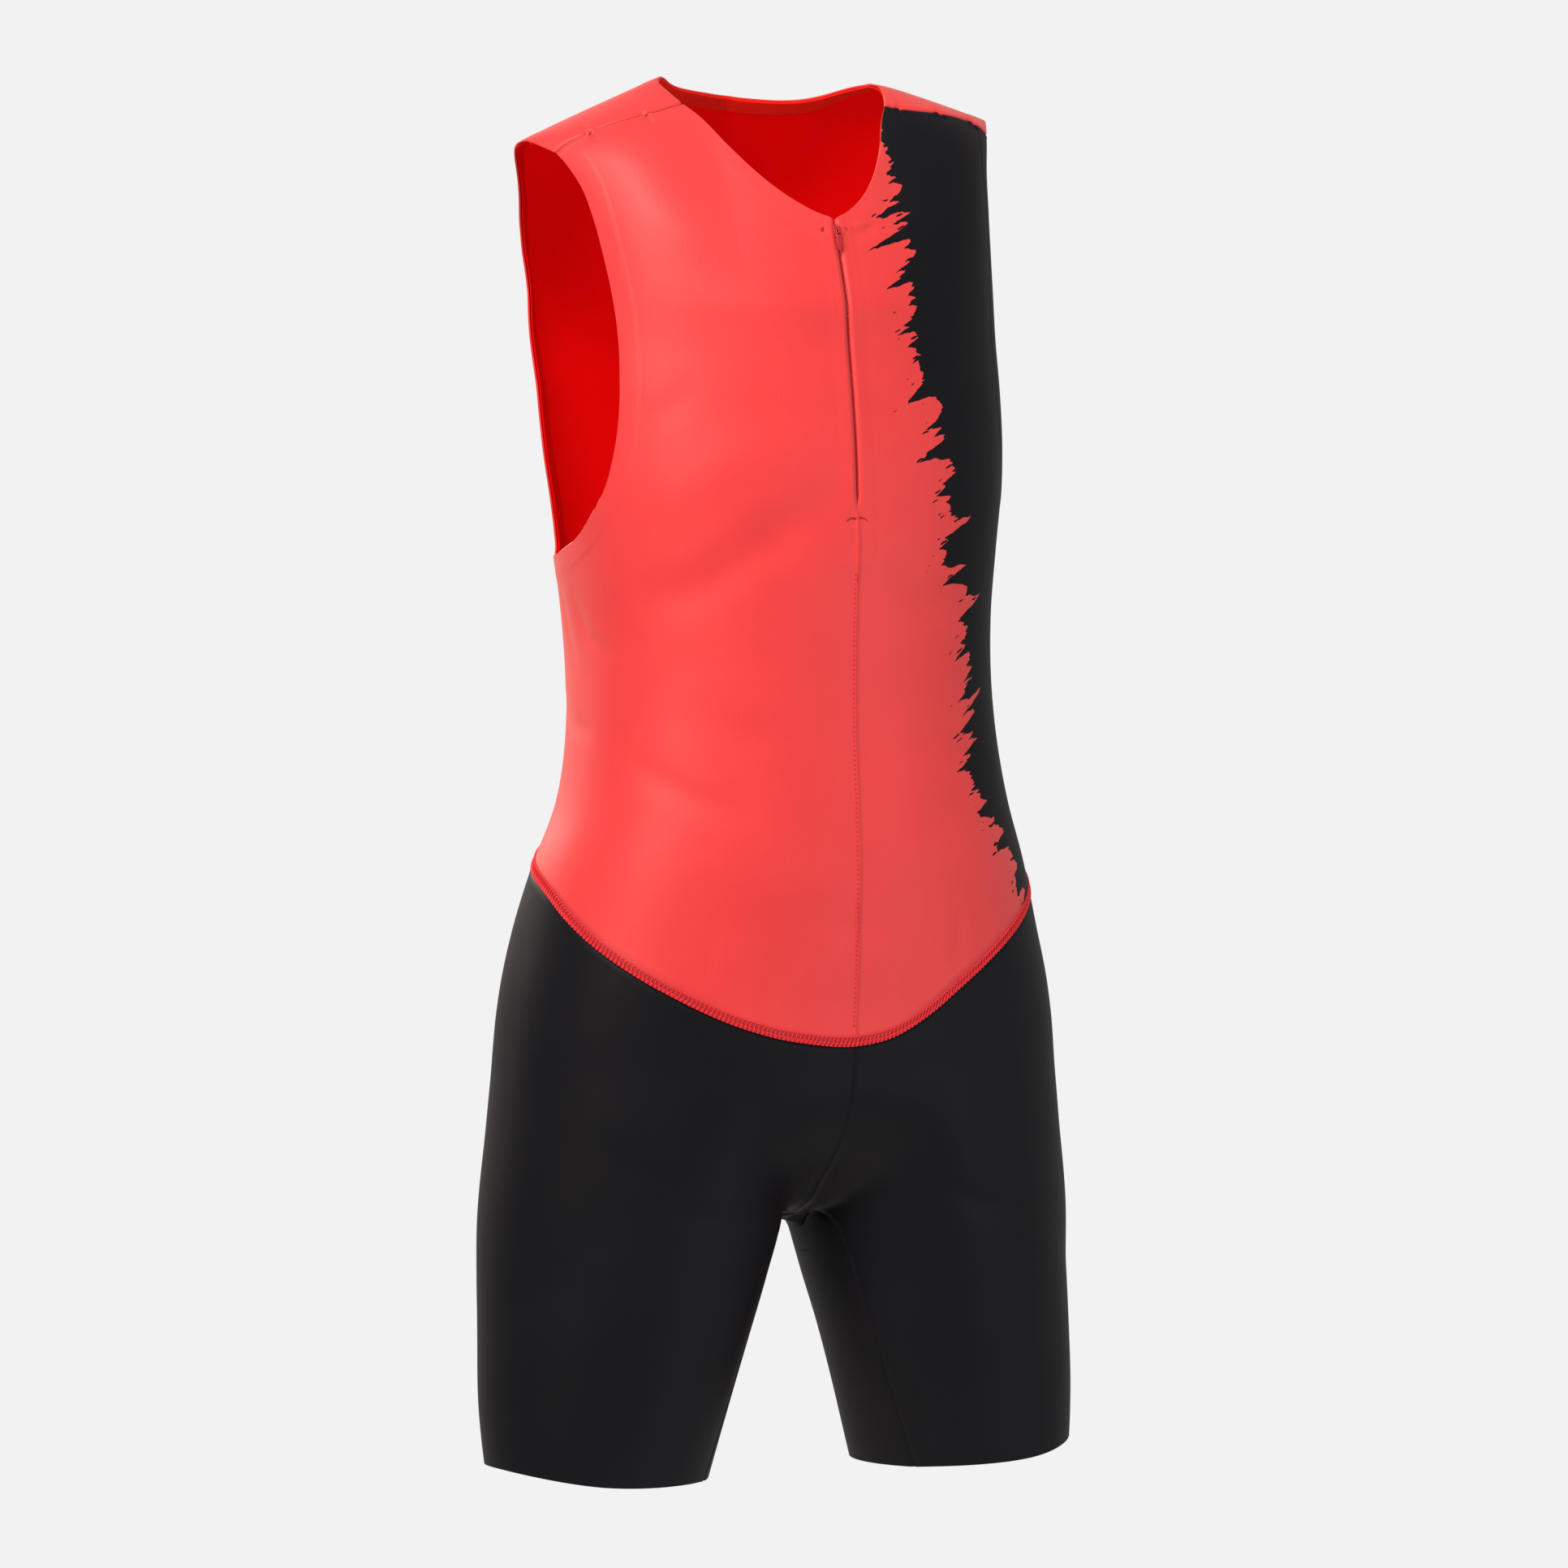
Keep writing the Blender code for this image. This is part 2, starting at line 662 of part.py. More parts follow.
for side, name in ((-1, "leg_right"), (1, "leg_left")):
    grid = leg_panel(side)
    trim(grid, "low", WAIST_TRIM)
    trim(grid, "left", HALF_GAP, LEG_UP_ROWS)
    trim(grid, "right", HALF_GAP, LEG_UP_ROWS)
    for column in (0, -1):
        near = ease((-0.69 - grid[:LEG_UP_ROWS + 1, column, 2]) / 0.03)
        grid[:LEG_UP_ROWS + 1, column, 0] = side * (HALF_GAP + CROTCH_TRIM * near)
    cloth(name, [grid], black_cloth)

inner = inner_panel()
fold = np.abs(np.arange(len(inner)) - LEG_LOW_ROWS)
fold_trim = HALF_GAP + CROTCH_TRIM * ease(1 - (fold[:, None] - 1) / 3)
trim(inner, "left", fold_trim)
trim(inner, "right", fold_trim)
cloth("inner_leg_panel", [inner], black_cloth)

skin = BVHTree.FromPolygons([Vector(p) for p in outer_points], outer_faces)


SAMPLES = np.array([(a, b, 4 - a - b) for a in range(5) for b in range(5 - a)]) / 4


# Point on the panels' outer faces, then the given depth under it
def under(p, depth):
    p = np.asarray(p, float)
    flat = on_form(p.reshape(-1, 3))
    normals = form_normal(flat)
    flat = lean(flat)
    result = []
    for point, normal in zip(flat, normals):
        place, face_normal, _, _ = skin.find_nearest(Vector(point))
        way = unit(np.array(face_normal) + normal)
        result.append(np.array(place) - way * depth)
    return np.array(result).reshape(p.shape)


# Pushes a strip in until every part of its facets lies the depth under the panels
def clear_of_skin(grid, depth, closed):
    grid = np.array(grid)
    rows, cols = grid.shape[:2]
    for _ in range(5):
        push = np.zeros((rows, cols))
        way = np.zeros((rows, cols, 3))
        for i in range(rows if closed else rows - 1):
            for j in range(cols - 1):
                k = (i + 1) % rows
                for facet in (((i, j), (i, j + 1), (k, j + 1)), ((i, j), (k, j + 1), (k, j))):
                    corners = np.array([grid[c] for c in facet])
                    for share in SAMPLES:
                        p = share @ corners
                        place, normal, _, _ = skin.find_nearest(Vector(p))
                        short = depth - float(np.dot(np.array(place) - p, np.array(normal)))
                        for c in facet:
                            if short > push[c]:
                                push[c] = short
                                way[c] = np.array(normal)
        grid = grid - way * push[..., None]
    return grid


def edge_strip(line, widths, away_from, closed=False):
    if closed:
        ring = np.concatenate([line[-1:], line, line[:1]])
        tangent = unit(ring[2:] - ring[:-2])
    else:
        tangent = unit(np.gradient(line, axis=0))
    across = unit(np.cross(form_normal(line), tangent))
    sign = np.sign(np.sum(across * (line - np.array(away_from)), axis=-1, keepdims=True))
    rows = [line + across * sign * w for w in widths]
    return np.stack(rows, 1)


def facing(name, line, widths, away_from, material, closed=False, thick=FACING_CLOTH):
    grid = under(edge_strip(line, widths, away_from, closed), CLOTH + FACING_CLEAR)
    grid = clear_of_skin(grid, CLOTH + FACING_GAP, closed)
    if closed:
        grid = np.concatenate([grid, grid[:1]])
    faces = grid_faces(grid, not faces_outward(grid))
    mesh = bpy.data.meshes.new(name)
    mesh.from_pydata([tuple(p) for p in grid.reshape(-1, 3)], [], faces)
    mesh.materials.append(material)
    work = bmesh.new()
    work.from_mesh(mesh)
    bmesh.ops.remove_doubles(work, verts=work.verts, dist=0.00002)
    work.to_mesh(mesh)
    work.free()
    obj = bpy.data.objects.new(name, mesh)
    garment.objects.link(obj)
    wall = obj.modifiers.new("wall", "SOLIDIFY")
    wall.thickness = thick
    wall.offset = -1
    wall.use_quality_normals = True
    return obj


left_neck = np.concatenate([neck_lines[1][0], neck_lines[1][1][::-1][1:]])
right_neck = np.concatenate([neck_lines[-1][0], neck_lines[-1][1][::-1][1:]])


# The neck facing stops beside the zip
def beside_zip(line):
    k = int(np.argmax(np.abs(line[:, 0]) > ZIP_TAPE_WIDTH / 2 + 0.0012))
    t = (ZIP_TAPE_WIDTH / 2 + 0.0012 - abs(line[k - 1, 0])) / (abs(line[k, 0]) - abs(line[k - 1, 0]))
    start = line[k - 1] + (line[k] - line[k - 1]) * t
    if t > 0.7:
        k += 1
    return np.concatenate([start[None], line[k:]])


neck_line = np.concatenate([beside_zip(right_neck), beside_zip(left_neck)[::-1][1:]])
facing("neck_facing", neck_line, (0.0006, 0.0055, NECK_FACING_WIDTH), (0, 0, 0.03), facing_cloth)

for side, name in ((-1, "arm_facing_right"), (1, "arm_facing_left")):
    loop = np.concatenate([arm_lines[side][0], arm_lines[side][1][::-1][1:-1]])
    centre = (side * 0.20, 0.01, -0.17)
    facing(name, loop, (0.0006, 0.007, ARM_FACING_WIDTH), centre, facing_cloth, closed=True)


def facing_grid(name, grid, material, thick):
    faces = grid_faces(grid, not faces_outward(grid))
    mesh = bpy.data.meshes.new(name)
    mesh.from_pydata([tuple(p) for p in grid.reshape(-1, 3)], [], faces)
    mesh.materials.append(material)
    obj = bpy.data.objects.new(name, mesh)
    garment.objects.link(obj)
    wall = obj.modifiers.new("wall", "SOLIDIFY")
    wall.thickness = thick
    wall.offset = -1
    wall.use_quality_normals = True
    return obj


tape_levels = np.linspace(ZIP_TOP, ZIP_TAPE_END, 11)
tape_across = np.linspace(-ZIP_TAPE_WIDTH / 2, ZIP_TAPE_WIDTH / 2, 5)
tape = np.array([[[x, -0.10, z] for x in tape_across] for z in tape_levels])
facing_grid("zip_tape", under(tape, CLOTH + FACING_CLEAR), zip_cloth, FACING_CLOTH)


# Zip slider and its pull, in a frame that lies on the cloth below the neck point
seat = centre_line(np.array([ZIP_TOP - 0.0052]), False)[0]
out_way = form_normal(seat[None])[0]
out_way[0] = 0.0
out_way = unit(out_way)
up_way = np.cross(out_way, np.array([1.0, 0.0, 0.0]))
up_way = up_way if up_way[2] > 0 else -up_way


def slider_point(x, along, lift):
    return Vector(seat + np.array([x, 0, 0]) + up_way * along + out_way * lift)


# Prism of an outline (along, lift) with the given half width in x
def prism(name, outline, half, collection, material=None):
    count = len(outline)
    points = [slider_point(-half, a, b) for a, b in outline]
    points += [slider_point(half, a, b) for a, b in outline]
    faces = [list(range(count)), list(range(2 * count - 1, count - 1, -1))]
    for k in range(count):
        m = (k + 1) % count
        faces.append([k, k + count, m + count, m])
    return solid_from(name, points, faces, collection, material)


# Plate of an outline (x, along) between two lifts
def plate(name, outline, low, high, collection, material=None):
    count = len(outline)
    points = [slider_point(x, a, low) for x, a in outline]
    points += [slider_point(x, a, high) for x, a in outline]
    faces = [list(range(count)), list(range(2 * count - 1, count - 1, -1))]
    for k in range(count):
        m = (k + 1) % count
        faces.append([k, k + count, m + count, m])
    return solid_from(name, points, faces, collection, material)


def solid_from(name, points, faces, collection, material):
    mesh = bpy.data.meshes.new(name)
    mesh.from_pydata([tuple(p) for p in points], [], faces)
    work = bmesh.new()
    work.from_mesh(mesh)
    bmesh.ops.recalc_face_normals(work, faces=work.faces)
    work.to_mesh(mesh)
    work.free()
    if material:
        mesh.materials.append(material)
    obj = bpy.data.objects.new(name, mesh)
    collection.objects.link(obj)
    if collection is cutters:
        obj.hide_render = True
        obj.display_type = "WIRE"
    return obj


def boolean(target, tool, how):
    cut = target.modifiers.new(tool.name, "BOOLEAN")
    cut.operation = how
    cut.solver = "EXACT"
    cut.object = tool


BASE_LOW = SEAM_GAP
BASE_HIGH = BASE_LOW + 0.0014
AXIS_LIFT = BASE_HIGH + 0.0010
BRIDGE_IN = AXIS_LIFT + 0.0010
w = SLIDER_WIDTH / 2
h = SLIDER_LENGTH / 2
body_outline = [(-w, h * 0.55), (-w * 0.62, -h), (w * 0.62, -h), (w, h * 0.55), (w * 0.55, h), (-w * 0.55, h)]
slider = plate("zip_slider", body_outline, BASE_LOW, BASE_HIGH, garment, zip_metal)
arch = [
    (-0.0028, BASE_HIGH - 0.0003), (-0.0028, BRIDGE_IN + 0.0002), (-0.0022, BRIDGE_IN + 0.0007),
    (0.0022, BRIDGE_IN + 0.0007), (0.0028, BRIDGE_IN + 0.0002), (0.0028, BASE_HIGH - 0.0003),
    (0.0019, BASE_HIGH - 0.0003), (0.0019, BRIDGE_IN), (-0.0019, BRIDGE_IN), (-0.0019, BASE_HIGH - 0.0003),
]
bridge = prism("slider_bridge", arch, 0.0006, cutters)
boolean(slider, bridge, "UNION")

r = PULL_WIDTH / 2
tip = 0.0004 - PULL_LENGTH + r
round_end = [(r * math.cos(a), tip + r * math.sin(a)) for a in np.linspace(math.pi, 2 * math.pi, 9)]
pull_outline = [(-r, 0.0004), *round_end, (r, 0.0004)]
pull = plate("zip_pull", pull_outline, AXIS_LIFT - 0.00055, AXIS_LIFT + 0.00055, garment, zip_metal)
eye = [(-0.0011, -0.0004), (-0.0011, -0.0034), (0.0011, -0.0034), (0.0011, -0.0004)]
pull_eye = plate("pull_eye", eye, AXIS_LIFT - 0.002, AXIS_LIFT + 0.002, cutters)
boolean(pull, pull_eye, "DIFFERENCE")
axis_point = slider_point(0, 0, AXIS_LIFT)
pull.data.transform(Matrix.Translation(-axis_point))
pull.location = axis_point
print("pull axis", [round(c, 5) for c in axis_point], "out", out_way.round(4), "up", up_way.round(4))
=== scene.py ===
import math
import bmesh
import bpy
import numpy as np
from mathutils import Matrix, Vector


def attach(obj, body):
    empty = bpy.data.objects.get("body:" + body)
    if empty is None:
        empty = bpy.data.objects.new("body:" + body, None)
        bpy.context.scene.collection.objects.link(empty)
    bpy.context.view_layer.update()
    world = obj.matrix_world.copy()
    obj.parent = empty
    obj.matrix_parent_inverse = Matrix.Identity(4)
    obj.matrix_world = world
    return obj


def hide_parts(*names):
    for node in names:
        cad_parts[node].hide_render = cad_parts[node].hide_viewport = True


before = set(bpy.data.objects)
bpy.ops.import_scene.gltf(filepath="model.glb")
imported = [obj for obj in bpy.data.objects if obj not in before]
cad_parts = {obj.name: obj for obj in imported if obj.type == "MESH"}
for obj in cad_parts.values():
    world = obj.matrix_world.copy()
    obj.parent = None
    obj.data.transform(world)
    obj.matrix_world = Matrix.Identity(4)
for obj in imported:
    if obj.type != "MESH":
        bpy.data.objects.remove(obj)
bpy.context.scene.view_settings.view_transform = "Standard"
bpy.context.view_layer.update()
print("stage: frame loaded")

# The cloth follows one smooth form. These sizes and sections are the garment's own, in metres.
form = {
    "neckHalf": 0.078,
    "shoulderSlope": 0.39,
    "tiltRight": 0.064,
    "tiltLeft": 0.105,
    "tiltFrom": -0.17,
    "neckSag": 0.0082,
    "neckSagAt": 0.055,
    "neckSagIn": 0.056,
    "neckSagOut": 0.022,
    "closeFrom": -0.145,
    "closeFront": (1.3, 0.7),  # power of the curve that closes the trunk over, in the middle, and what the side adds
    "closeBack": (1.8, 0.3),
    "setBack": 0.14,  # how far the top moves back for each metre out from setBackFrom
    "setBackFrom": 0.09,
    "middleSoft": 0.014,
    "ovalFront": 2.25,  # power of a section's oval: 2 is an ellipse, and more is squarer
    "ovalBack": (2.45, 0.55),
    "sinkFrom": -0.62,  # the outer parts of the sections sink below this height
    "sink": 0.42,
    "crotchEnd": -0.7285,
    "legTop": -0.57,
    "legAspect": 0.90,
    "legBlend": (0.006, 0.024),  # how softly legs and trunk meet in the middle, and what the side adds
    "deepest": -0.2,  # distances inside stop here
}
ray = {"reach": 0.30, "steps": 24, "halvings": 16}
core = {  # middle line of trunk and legs
    "chestFrom": -0.26,
    "chestSpan": 0.17,
    "chestOut": 0.09,
    "chestBack": 0.012,
    "chestTop": -0.135,
    "legsFrom": -0.60,
    "legsSpan": 0.13,
}
body = (  # height, half width, front depth, back depth, centre set back
    (0.040, 0.176, 0.100, 0.112, 0.012),
    (-0.020, 0.174, 0.101, 0.120, 0.012),
    (-0.040, 0.1640, 0.1015, 0.123, 0.012),
    (-0.060, 0.1555, 0.1025, 0.126, 0.012),
    (-0.090, 0.1500, 0.105, 0.129, 0.012),
    (-0.120, 0.1490, 0.1035, 0.130, 0.0115),
    (-0.160, 0.1502, 0.1055, 0.126, 0.0095),
    (-0.200, 0.1510, 0.112, 0.117, 0.005),
    (-0.235, 0.1500, 0.1165, 0.111, 0.0005),
    (-0.260, 0.1480, 0.118, 0.108, -0.003),
    (-0.300, 0.1430, 0.119, 0.1045, -0.0045),
    (-0.340, 0.1390, 0.117, 0.100, -0.007),
    (-0.380, 0.1384, 0.116, 0.092, -0.010),
    (-0.420, 0.1416, 0.117, 0.083, -0.013),
    (-0.460, 0.1496, 0.120, 0.079, -0.0125),
    (-0.500, 0.1640, 0.122, 0.083, -0.005),
    (-0.540, 0.1750, 0.121, 0.095, -0.002),
    (-0.580, 0.1840, 0.118, 0.104, -0.005),
    (-0.620, 0.1882, 0.1145, 0.109, -0.0075),
    (-0.650, 0.1865, 0.1085, 0.108, -0.0085),
    (-0.680, 0.1850, 0.0890, 0.098, -0.009),
    (-0.700, 0.1820, 0.0680, 0.081, -0.009),
    (-0.715, 0.1770, 0.0500, 0.060, -0.005),
    (-0.7285, 0.1650, 0.0160, 0.024, 0.004),
)
shoulderBlade = (  # height, extra half width of the back
    (-0.200, 0.0),
    (-0.180, 0.0001),
    (-0.165, -0.0004),
    (-0.150, -0.0016),
    (-0.135, -0.0026),
    (-0.120, -0.0012),
    (-0.105, 0.0018),
    (-0.090, 0.0038),
    (-0.070, 0.0042),
    (-0.050, 0.0042),
    (0.040, 0.0060),
)
legs = (  # height, centre out, centre back, half length, turn in degrees
    (-0.560, 0.090, -0.006, 0.030, 23.0),
    (-0.600, 0.091, -0.006, 0.066, 23.0),
    (-0.640, 0.094, -0.007, 0.085, 23.0),
    (-0.680, 0.0985, -0.0075, 0.0935, 23.0),
    (-0.720, 0.1045, -0.008, 0.0960, 23.0),
    (-0.760, 0.1116, -0.008, 0.0921, 23.0),
    (-0.800, 0.1188, -0.0092, 0.0863, 19.6),
    (-0.840, 0.1251, -0.0096, 0.0805, 12.0),
    (-0.870, 0.1285, -0.0100, 0.0755, 3.0),
    (-0.900, 0.1310, -0.0104, 0.0700, -6.0),
)
# Cut edges of the wearer's left half, mirrored for the right: out, back, height
neckFront = (
    (0.0000, -0.0855, -0.0889),
    (0.0125, -0.0813, -0.0836),
    (0.0262, -0.0742, -0.0745),
    (0.0415, -0.0612, -0.0600),
    (0.0545, -0.0451, -0.0420),
    (0.0655, -0.0265, -0.0240),
    (0.0727, -0.0165, -0.0157),
)
neckBack = (
    (0.0000, 0.0600, -0.0070),
    (0.0070, 0.0598, -0.00695),
    (0.0180, 0.0585, -0.0062),
    (0.0350, 0.0530, -0.0048),
    (0.0510, 0.0430, -0.0030),
    (0.0640, 0.0290, -0.0010),
    (0.0745, 0.0140, 0.0000),
    (0.0780, 0.0060, -0.0006),
    (0.0768, -0.0060, -0.0060),
    (0.0727, -0.0165, -0.0157),
)
shoulderSeam = (
    (0.0727, -0.0165, -0.0157),
    (0.0920, -0.0165, -0.0192),
    (0.1120, -0.0140, -0.0245),
    (0.1340, -0.0085, -0.0315),
    (0.1555, -0.0015, -0.0400),
)
armFront = (
    (0.1270, 0.0570, -0.3035),
    (0.1375, 0.0330, -0.3025),
    (0.1418, 0.0150, -0.2985),
    (0.1439, -0.0094, -0.2905),
    (0.1432, -0.0310, -0.2750),
    (0.1415, -0.0458, -0.2570),
    (0.1385, -0.0525, -0.2360),
    (0.1360, -0.0550, -0.2120),
    (0.1347, -0.0535, -0.1860),
    (0.1345, -0.0499, -0.1600),
    (0.1357, -0.0441, -0.1340),
    (0.1374, -0.0360, -0.1090),
    (0.1405, -0.0284, -0.0858),
    (0.1444, -0.0190, -0.0650),
    (0.1500, -0.0069, -0.0494),
    (0.1555, -0.0015, -0.0400),
)
armBack = (
    (0.1270, 0.0570, -0.3035),
    (0.1275, 0.0630, -0.2985),
    (0.1290, 0.0665, -0.2880),
    (0.1315, 0.0685, -0.2700),
    (0.1340, 0.0680, -0.2400),
    (0.1360, 0.0720, -0.2000),
    (0.1355, 0.0776, -0.1560),
    (0.1358, 0.0792, -0.1250),
    (0.1420, 0.0765, -0.0940),
    (0.1484, 0.0655, -0.0730),
    (0.1558, 0.0520, -0.0548),
    (0.1625, 0.0360, -0.0420),
    (0.1630, 0.0206, -0.0350),
    (0.1600, 0.0080, -0.0365),
    (0.1555, -0.0015, -0.0400),
)
waist = (  # angle round the trunk in degrees, 0 in front and positive to the left; height
    (-180.0, -0.468),
    (-140.0, -0.474),
    (-115.0, -0.488),
    (-97.0, -0.5035),
    (-84.0, -0.518),
    (-76.0, -0.532),
    (-67.0, -0.5495),
    (-56.0, -0.5703),
    (-42.0, -0.5909),
    (-30.0, -0.6015),
    (-15.0, -0.6080),
    (0.0, -0.6100),
    (16.0, -0.6037),
    (26.0, -0.5925),
    (39.0, -0.5710),
    (51.0, -0.5500),
    (68.0, -0.5245),
    (90.0, -0.5035),
    (115.0, -0.488),
    (140.0, -0.474),
    (180.0, -0.468),
)
legHem = (  # part of the way round a leg, height on the right, height on the left
    (0.00, -0.8888, -0.8888),
    (0.25, -0.8865, -0.8845),
    (0.50, -0.8772, -0.8742),
    (0.75, -0.8820, -0.8800),
    (1.00, -0.8877, -0.8877),
)
innerFront = (
    (0.0000, -0.0325, -0.7240),
    (0.0095, -0.0350, -0.7225),
    (0.0170, -0.0430, -0.7245),
    (0.0225, -0.0510, -0.7340),
    (0.0290, -0.0533, -0.7500),
    (0.0414, -0.0538, -0.7884),
    (0.0565, -0.0530, -0.8337),
    (0.0715, -0.0525, -0.8765),
    (0.0757, -0.0521, -0.8885),
)
innerBack = (
    (0.0000, 0.0420, -0.7250),
    (0.0110, 0.0445, -0.7235),
    (0.0190, 0.0490, -0.7260),
    (0.0250, 0.0520, -0.7350),
    (0.0320, 0.0530, -0.7500),
    (0.0450, 0.0510, -0.7884),
    (0.0610, 0.0470, -0.8337),
    (0.0760, 0.0430, -0.8765),
    (0.0803, 0.0418, -0.8875),
)
cloth = {
    "thick": 0.0012,
    "seamHalf": 0.00004,
    "centreHalf": 0.00002,
    "sideAngle": 117.0,
    "fine": 7,  # cells of the shells for each cell of the solids
    "frontCols": 12,
    "backCols": 7,
    "lowRows": 9,
    "midRows": 11,
    "topRows": 8,
    "legUpRows": 8,
    "legLowRows": 9,
    "innerCols": 4,
    "nearSeam": (0.0004, 0.0009, 0.0016),  # rows of finer cells from a sewn edge
    "legWaistShare": 0.44,  # part of a leg panel above the crotch
    "joinWithin": 0.00002,
}
# Rough lengths along and across the panels, for the rows near the seams
spans = {"low": 0.25, "mid": 0.25, "top": 0.13, "half": 0.26, "legUp": 0.22, "legLow": 0.18, "leg": 0.52, "inner": 0.09}
wearerSides = ((-1, "Right"), (1, "Left"))
zipSizes = {
    "top": -0.0915,
    "end": -0.272,
    "opening": 0.0018,
    "tapeWidth": 0.021,
    "tapeEnd": -0.311,
    "tapeMark": -0.3145,
}
splineKnots = {}


# Knots of one column with its cubic's four factors in every cell, worked out once for each fixed table
def knotsOf(table, column):
    key = (id(table), column)
    if key in splineKnots:
        return splineKnots[key]
    rows = np.array(table, float)
    rows = rows[np.argsort(rows[:, 0])]
    xs, ys = rows[:, 0], rows[:, column]
    slope = np.gradient(ys, xs)
    width = np.diff(xs)
    rise = np.diff(ys)
    a, b = slope[:-1] * width, slope[1:] * width
    knots = (xs, width, ys[:-1], a, 3 * rise - 2 * a - b, a + b - 2 * rise)
    if isinstance(table, tuple):
        splineKnots[key] = knots
    return knots


def spline(table, column, at):
    xs, width, c0, c1, c2, c3 = knotsOf(table, column)
    at = np.minimum(np.maximum(np.asarray(at, float), xs[0]), xs[-1])
    cell = np.minimum(np.maximum(np.searchsorted(xs, at) - 1, 0), len(xs) - 2)
    t = (at - xs[cell]) / width[cell]
    return c0[cell] + t * (c1[cell] + t * (c2[cell] + t * c3[cell]))


def ease(t):
    t = np.clip(t, 0.0, 1.0)
    return t * t * (3 - 2 * t)


def unit(v):
    return v / np.maximum(np.linalg.norm(v, axis=-1, keepdims=True), 1e-12)


# Signed distance to the form, negative inside
def formDistance(p):
    x, y, z = p[..., 0], p[..., 1], p[..., 2]
    out = np.abs(x)
    low = np.minimum(z - form["sinkFrom"], 0)
    level = z - low * form["sink"] * ease((out - 0.005) / 0.10)
    wide = spline(body, 1, level)
    front = spline(body, 2, level)
    back = spline(body, 3, level)
    mid = spline(body, 4, level)
    top = -form["shoulderSlope"] * (out - form["neckHalf"])
    t = np.clip((z - form["closeFrom"]) / (top - form["closeFrom"]), 0.0, 1.0)
    side = ease((out - 0.06) / 0.09)
    dy = y - mid - form["setBack"] * (np.hypot(out, form["middleSoft"]) - form["setBackFrom"]) * t * t
    ahead = dy < 0
    (frontClose, frontAdds), (backClose, backAdds) = form["closeFront"], form["closeBack"]
    power = np.where(ahead, frontClose + frontAdds * side, backClose + backAdds * side)
    close = np.maximum(1 - t ** power, 1e-9) ** (1 / power)
    depth = np.where(ahead, front + mid, back - mid) * close
    ovalLow, ovalAdds = form["ovalBack"]
    n = np.where(ahead, form["ovalFront"], ovalLow + ovalAdds * ease((z + 0.20) / 0.09))
    wide = wide + np.where(ahead, 0, spline(shoulderBlade, 1, z))
    gauge = ((out / wide) ** n + (np.abs(dy) / depth) ** n) ** (1 / n)
    trunk = np.hypot(out, dy) * (1 - 1 / np.maximum(gauge, 1e-6))
    trunk = np.maximum(trunk, form["deepest"])
    trunk = np.where(z > top, np.maximum(trunk, z - top), trunk)
    below = form["crotchEnd"] - level
    trunk = np.where(below > 0, np.maximum(trunk, 0) + below, trunk)
    longR = spline(legs, 3, z)
    turn = np.radians(spline(legs, 4, z))
    dx = out - spline(legs, 1, z)
    dl = y - spline(legs, 2, z)
    a = dx * np.cos(turn) + dl * np.sin(turn)
    b = dl * np.cos(turn) - dx * np.sin(turn)
    oval = np.maximum(np.hypot(a / longR, b / (longR * form["legAspect"])), 1e-6)
    leg = np.maximum(np.hypot(dx, dl) * (1 - 1 / oval), form["deepest"])
    leg = np.where(z > form["legTop"], leg + z - form["legTop"], leg)
    blendMiddle, blendAdds = form["legBlend"]
    k = blendMiddle + blendAdds * ease((out - 0.015) / 0.07)
    h = np.maximum(k - np.abs(trunk - leg), 0) / k
    return np.minimum(trunk, leg) - h * h * k / 4


def formNormal(p):
    step = 0.0015
    parts = []
    for axis in range(3):
        shift = np.zeros(3)
        shift[axis] = step
        parts.append(formDistance(p + shift) - formDistance(p - shift))
    return unit(np.stack(parts, -1))


# Point where a ray from inside first leaves the form
def cast(start, toward):
    toward = unit(np.asarray(toward, float))
    step = ray["reach"] / ray["steps"]
    low = np.zeros(toward.shape[:-1])
    found = np.zeros(toward.shape[:-1], bool)
    for k in range(1, ray["steps"] + 1):
        outside = formDistance(start + toward * (k * step)) > 0
        found = found | outside
        low = np.where(found, low, k * step)
    high = low + step
    for _ in range(ray["halvings"]):
        half = (low + high) / 2
        inside = formDistance(start + toward * half[..., None]) < 0
        low = np.where(inside, half, low)
        high = np.where(inside, high, half)
    return start + toward * low[..., None]


# Point of the middle line of trunk and legs from which the cloth at p is reached
def corePoint(p):
    x, z = p[..., 0], p[..., 2]
    mid = spline(body, 4, z)
    up = ease((z - core["chestFrom"]) / core["chestSpan"])
    down = ease((core["legsFrom"] - z) / core["legsSpan"])
    out = core["chestOut"] * up * np.minimum(np.abs(x) / 0.05, 1) + down * spline(legs, 1, z)
    deep = (mid * (1 - up) + core["chestBack"] * up) * (1 - down) + down * spline(legs, 2, z)
    height = z * (1 - up) + np.minimum(z, core["chestTop"]) * up
    return np.stack([np.sign(x) * out, deep, height], -1)


def onForm(p):
    p = np.asarray(p, float)
    start = corePoint(p)
    return cast(start, p - start)


# Point on the front of the form for each place given as out and height
def onFront(stations):
    return onForm(np.array([(x, -0.10, z) for x, z in stations]))


# Curve through table rows at the given parts of its length
def curve(table, fractions, side=1):
    rows = np.array(table, float)
    knots = np.concatenate([[0], np.cumsum(np.linalg.norm(np.diff(rows, axis=0), axis=1))])
    keyed = np.column_stack([knots, rows])
    at = np.asarray(fractions) * knots[-1]
    pts = np.stack([spline(keyed, k, at) for k in (1, 2, 3)], -1)
    pts[:, 0] *= side
    return pts


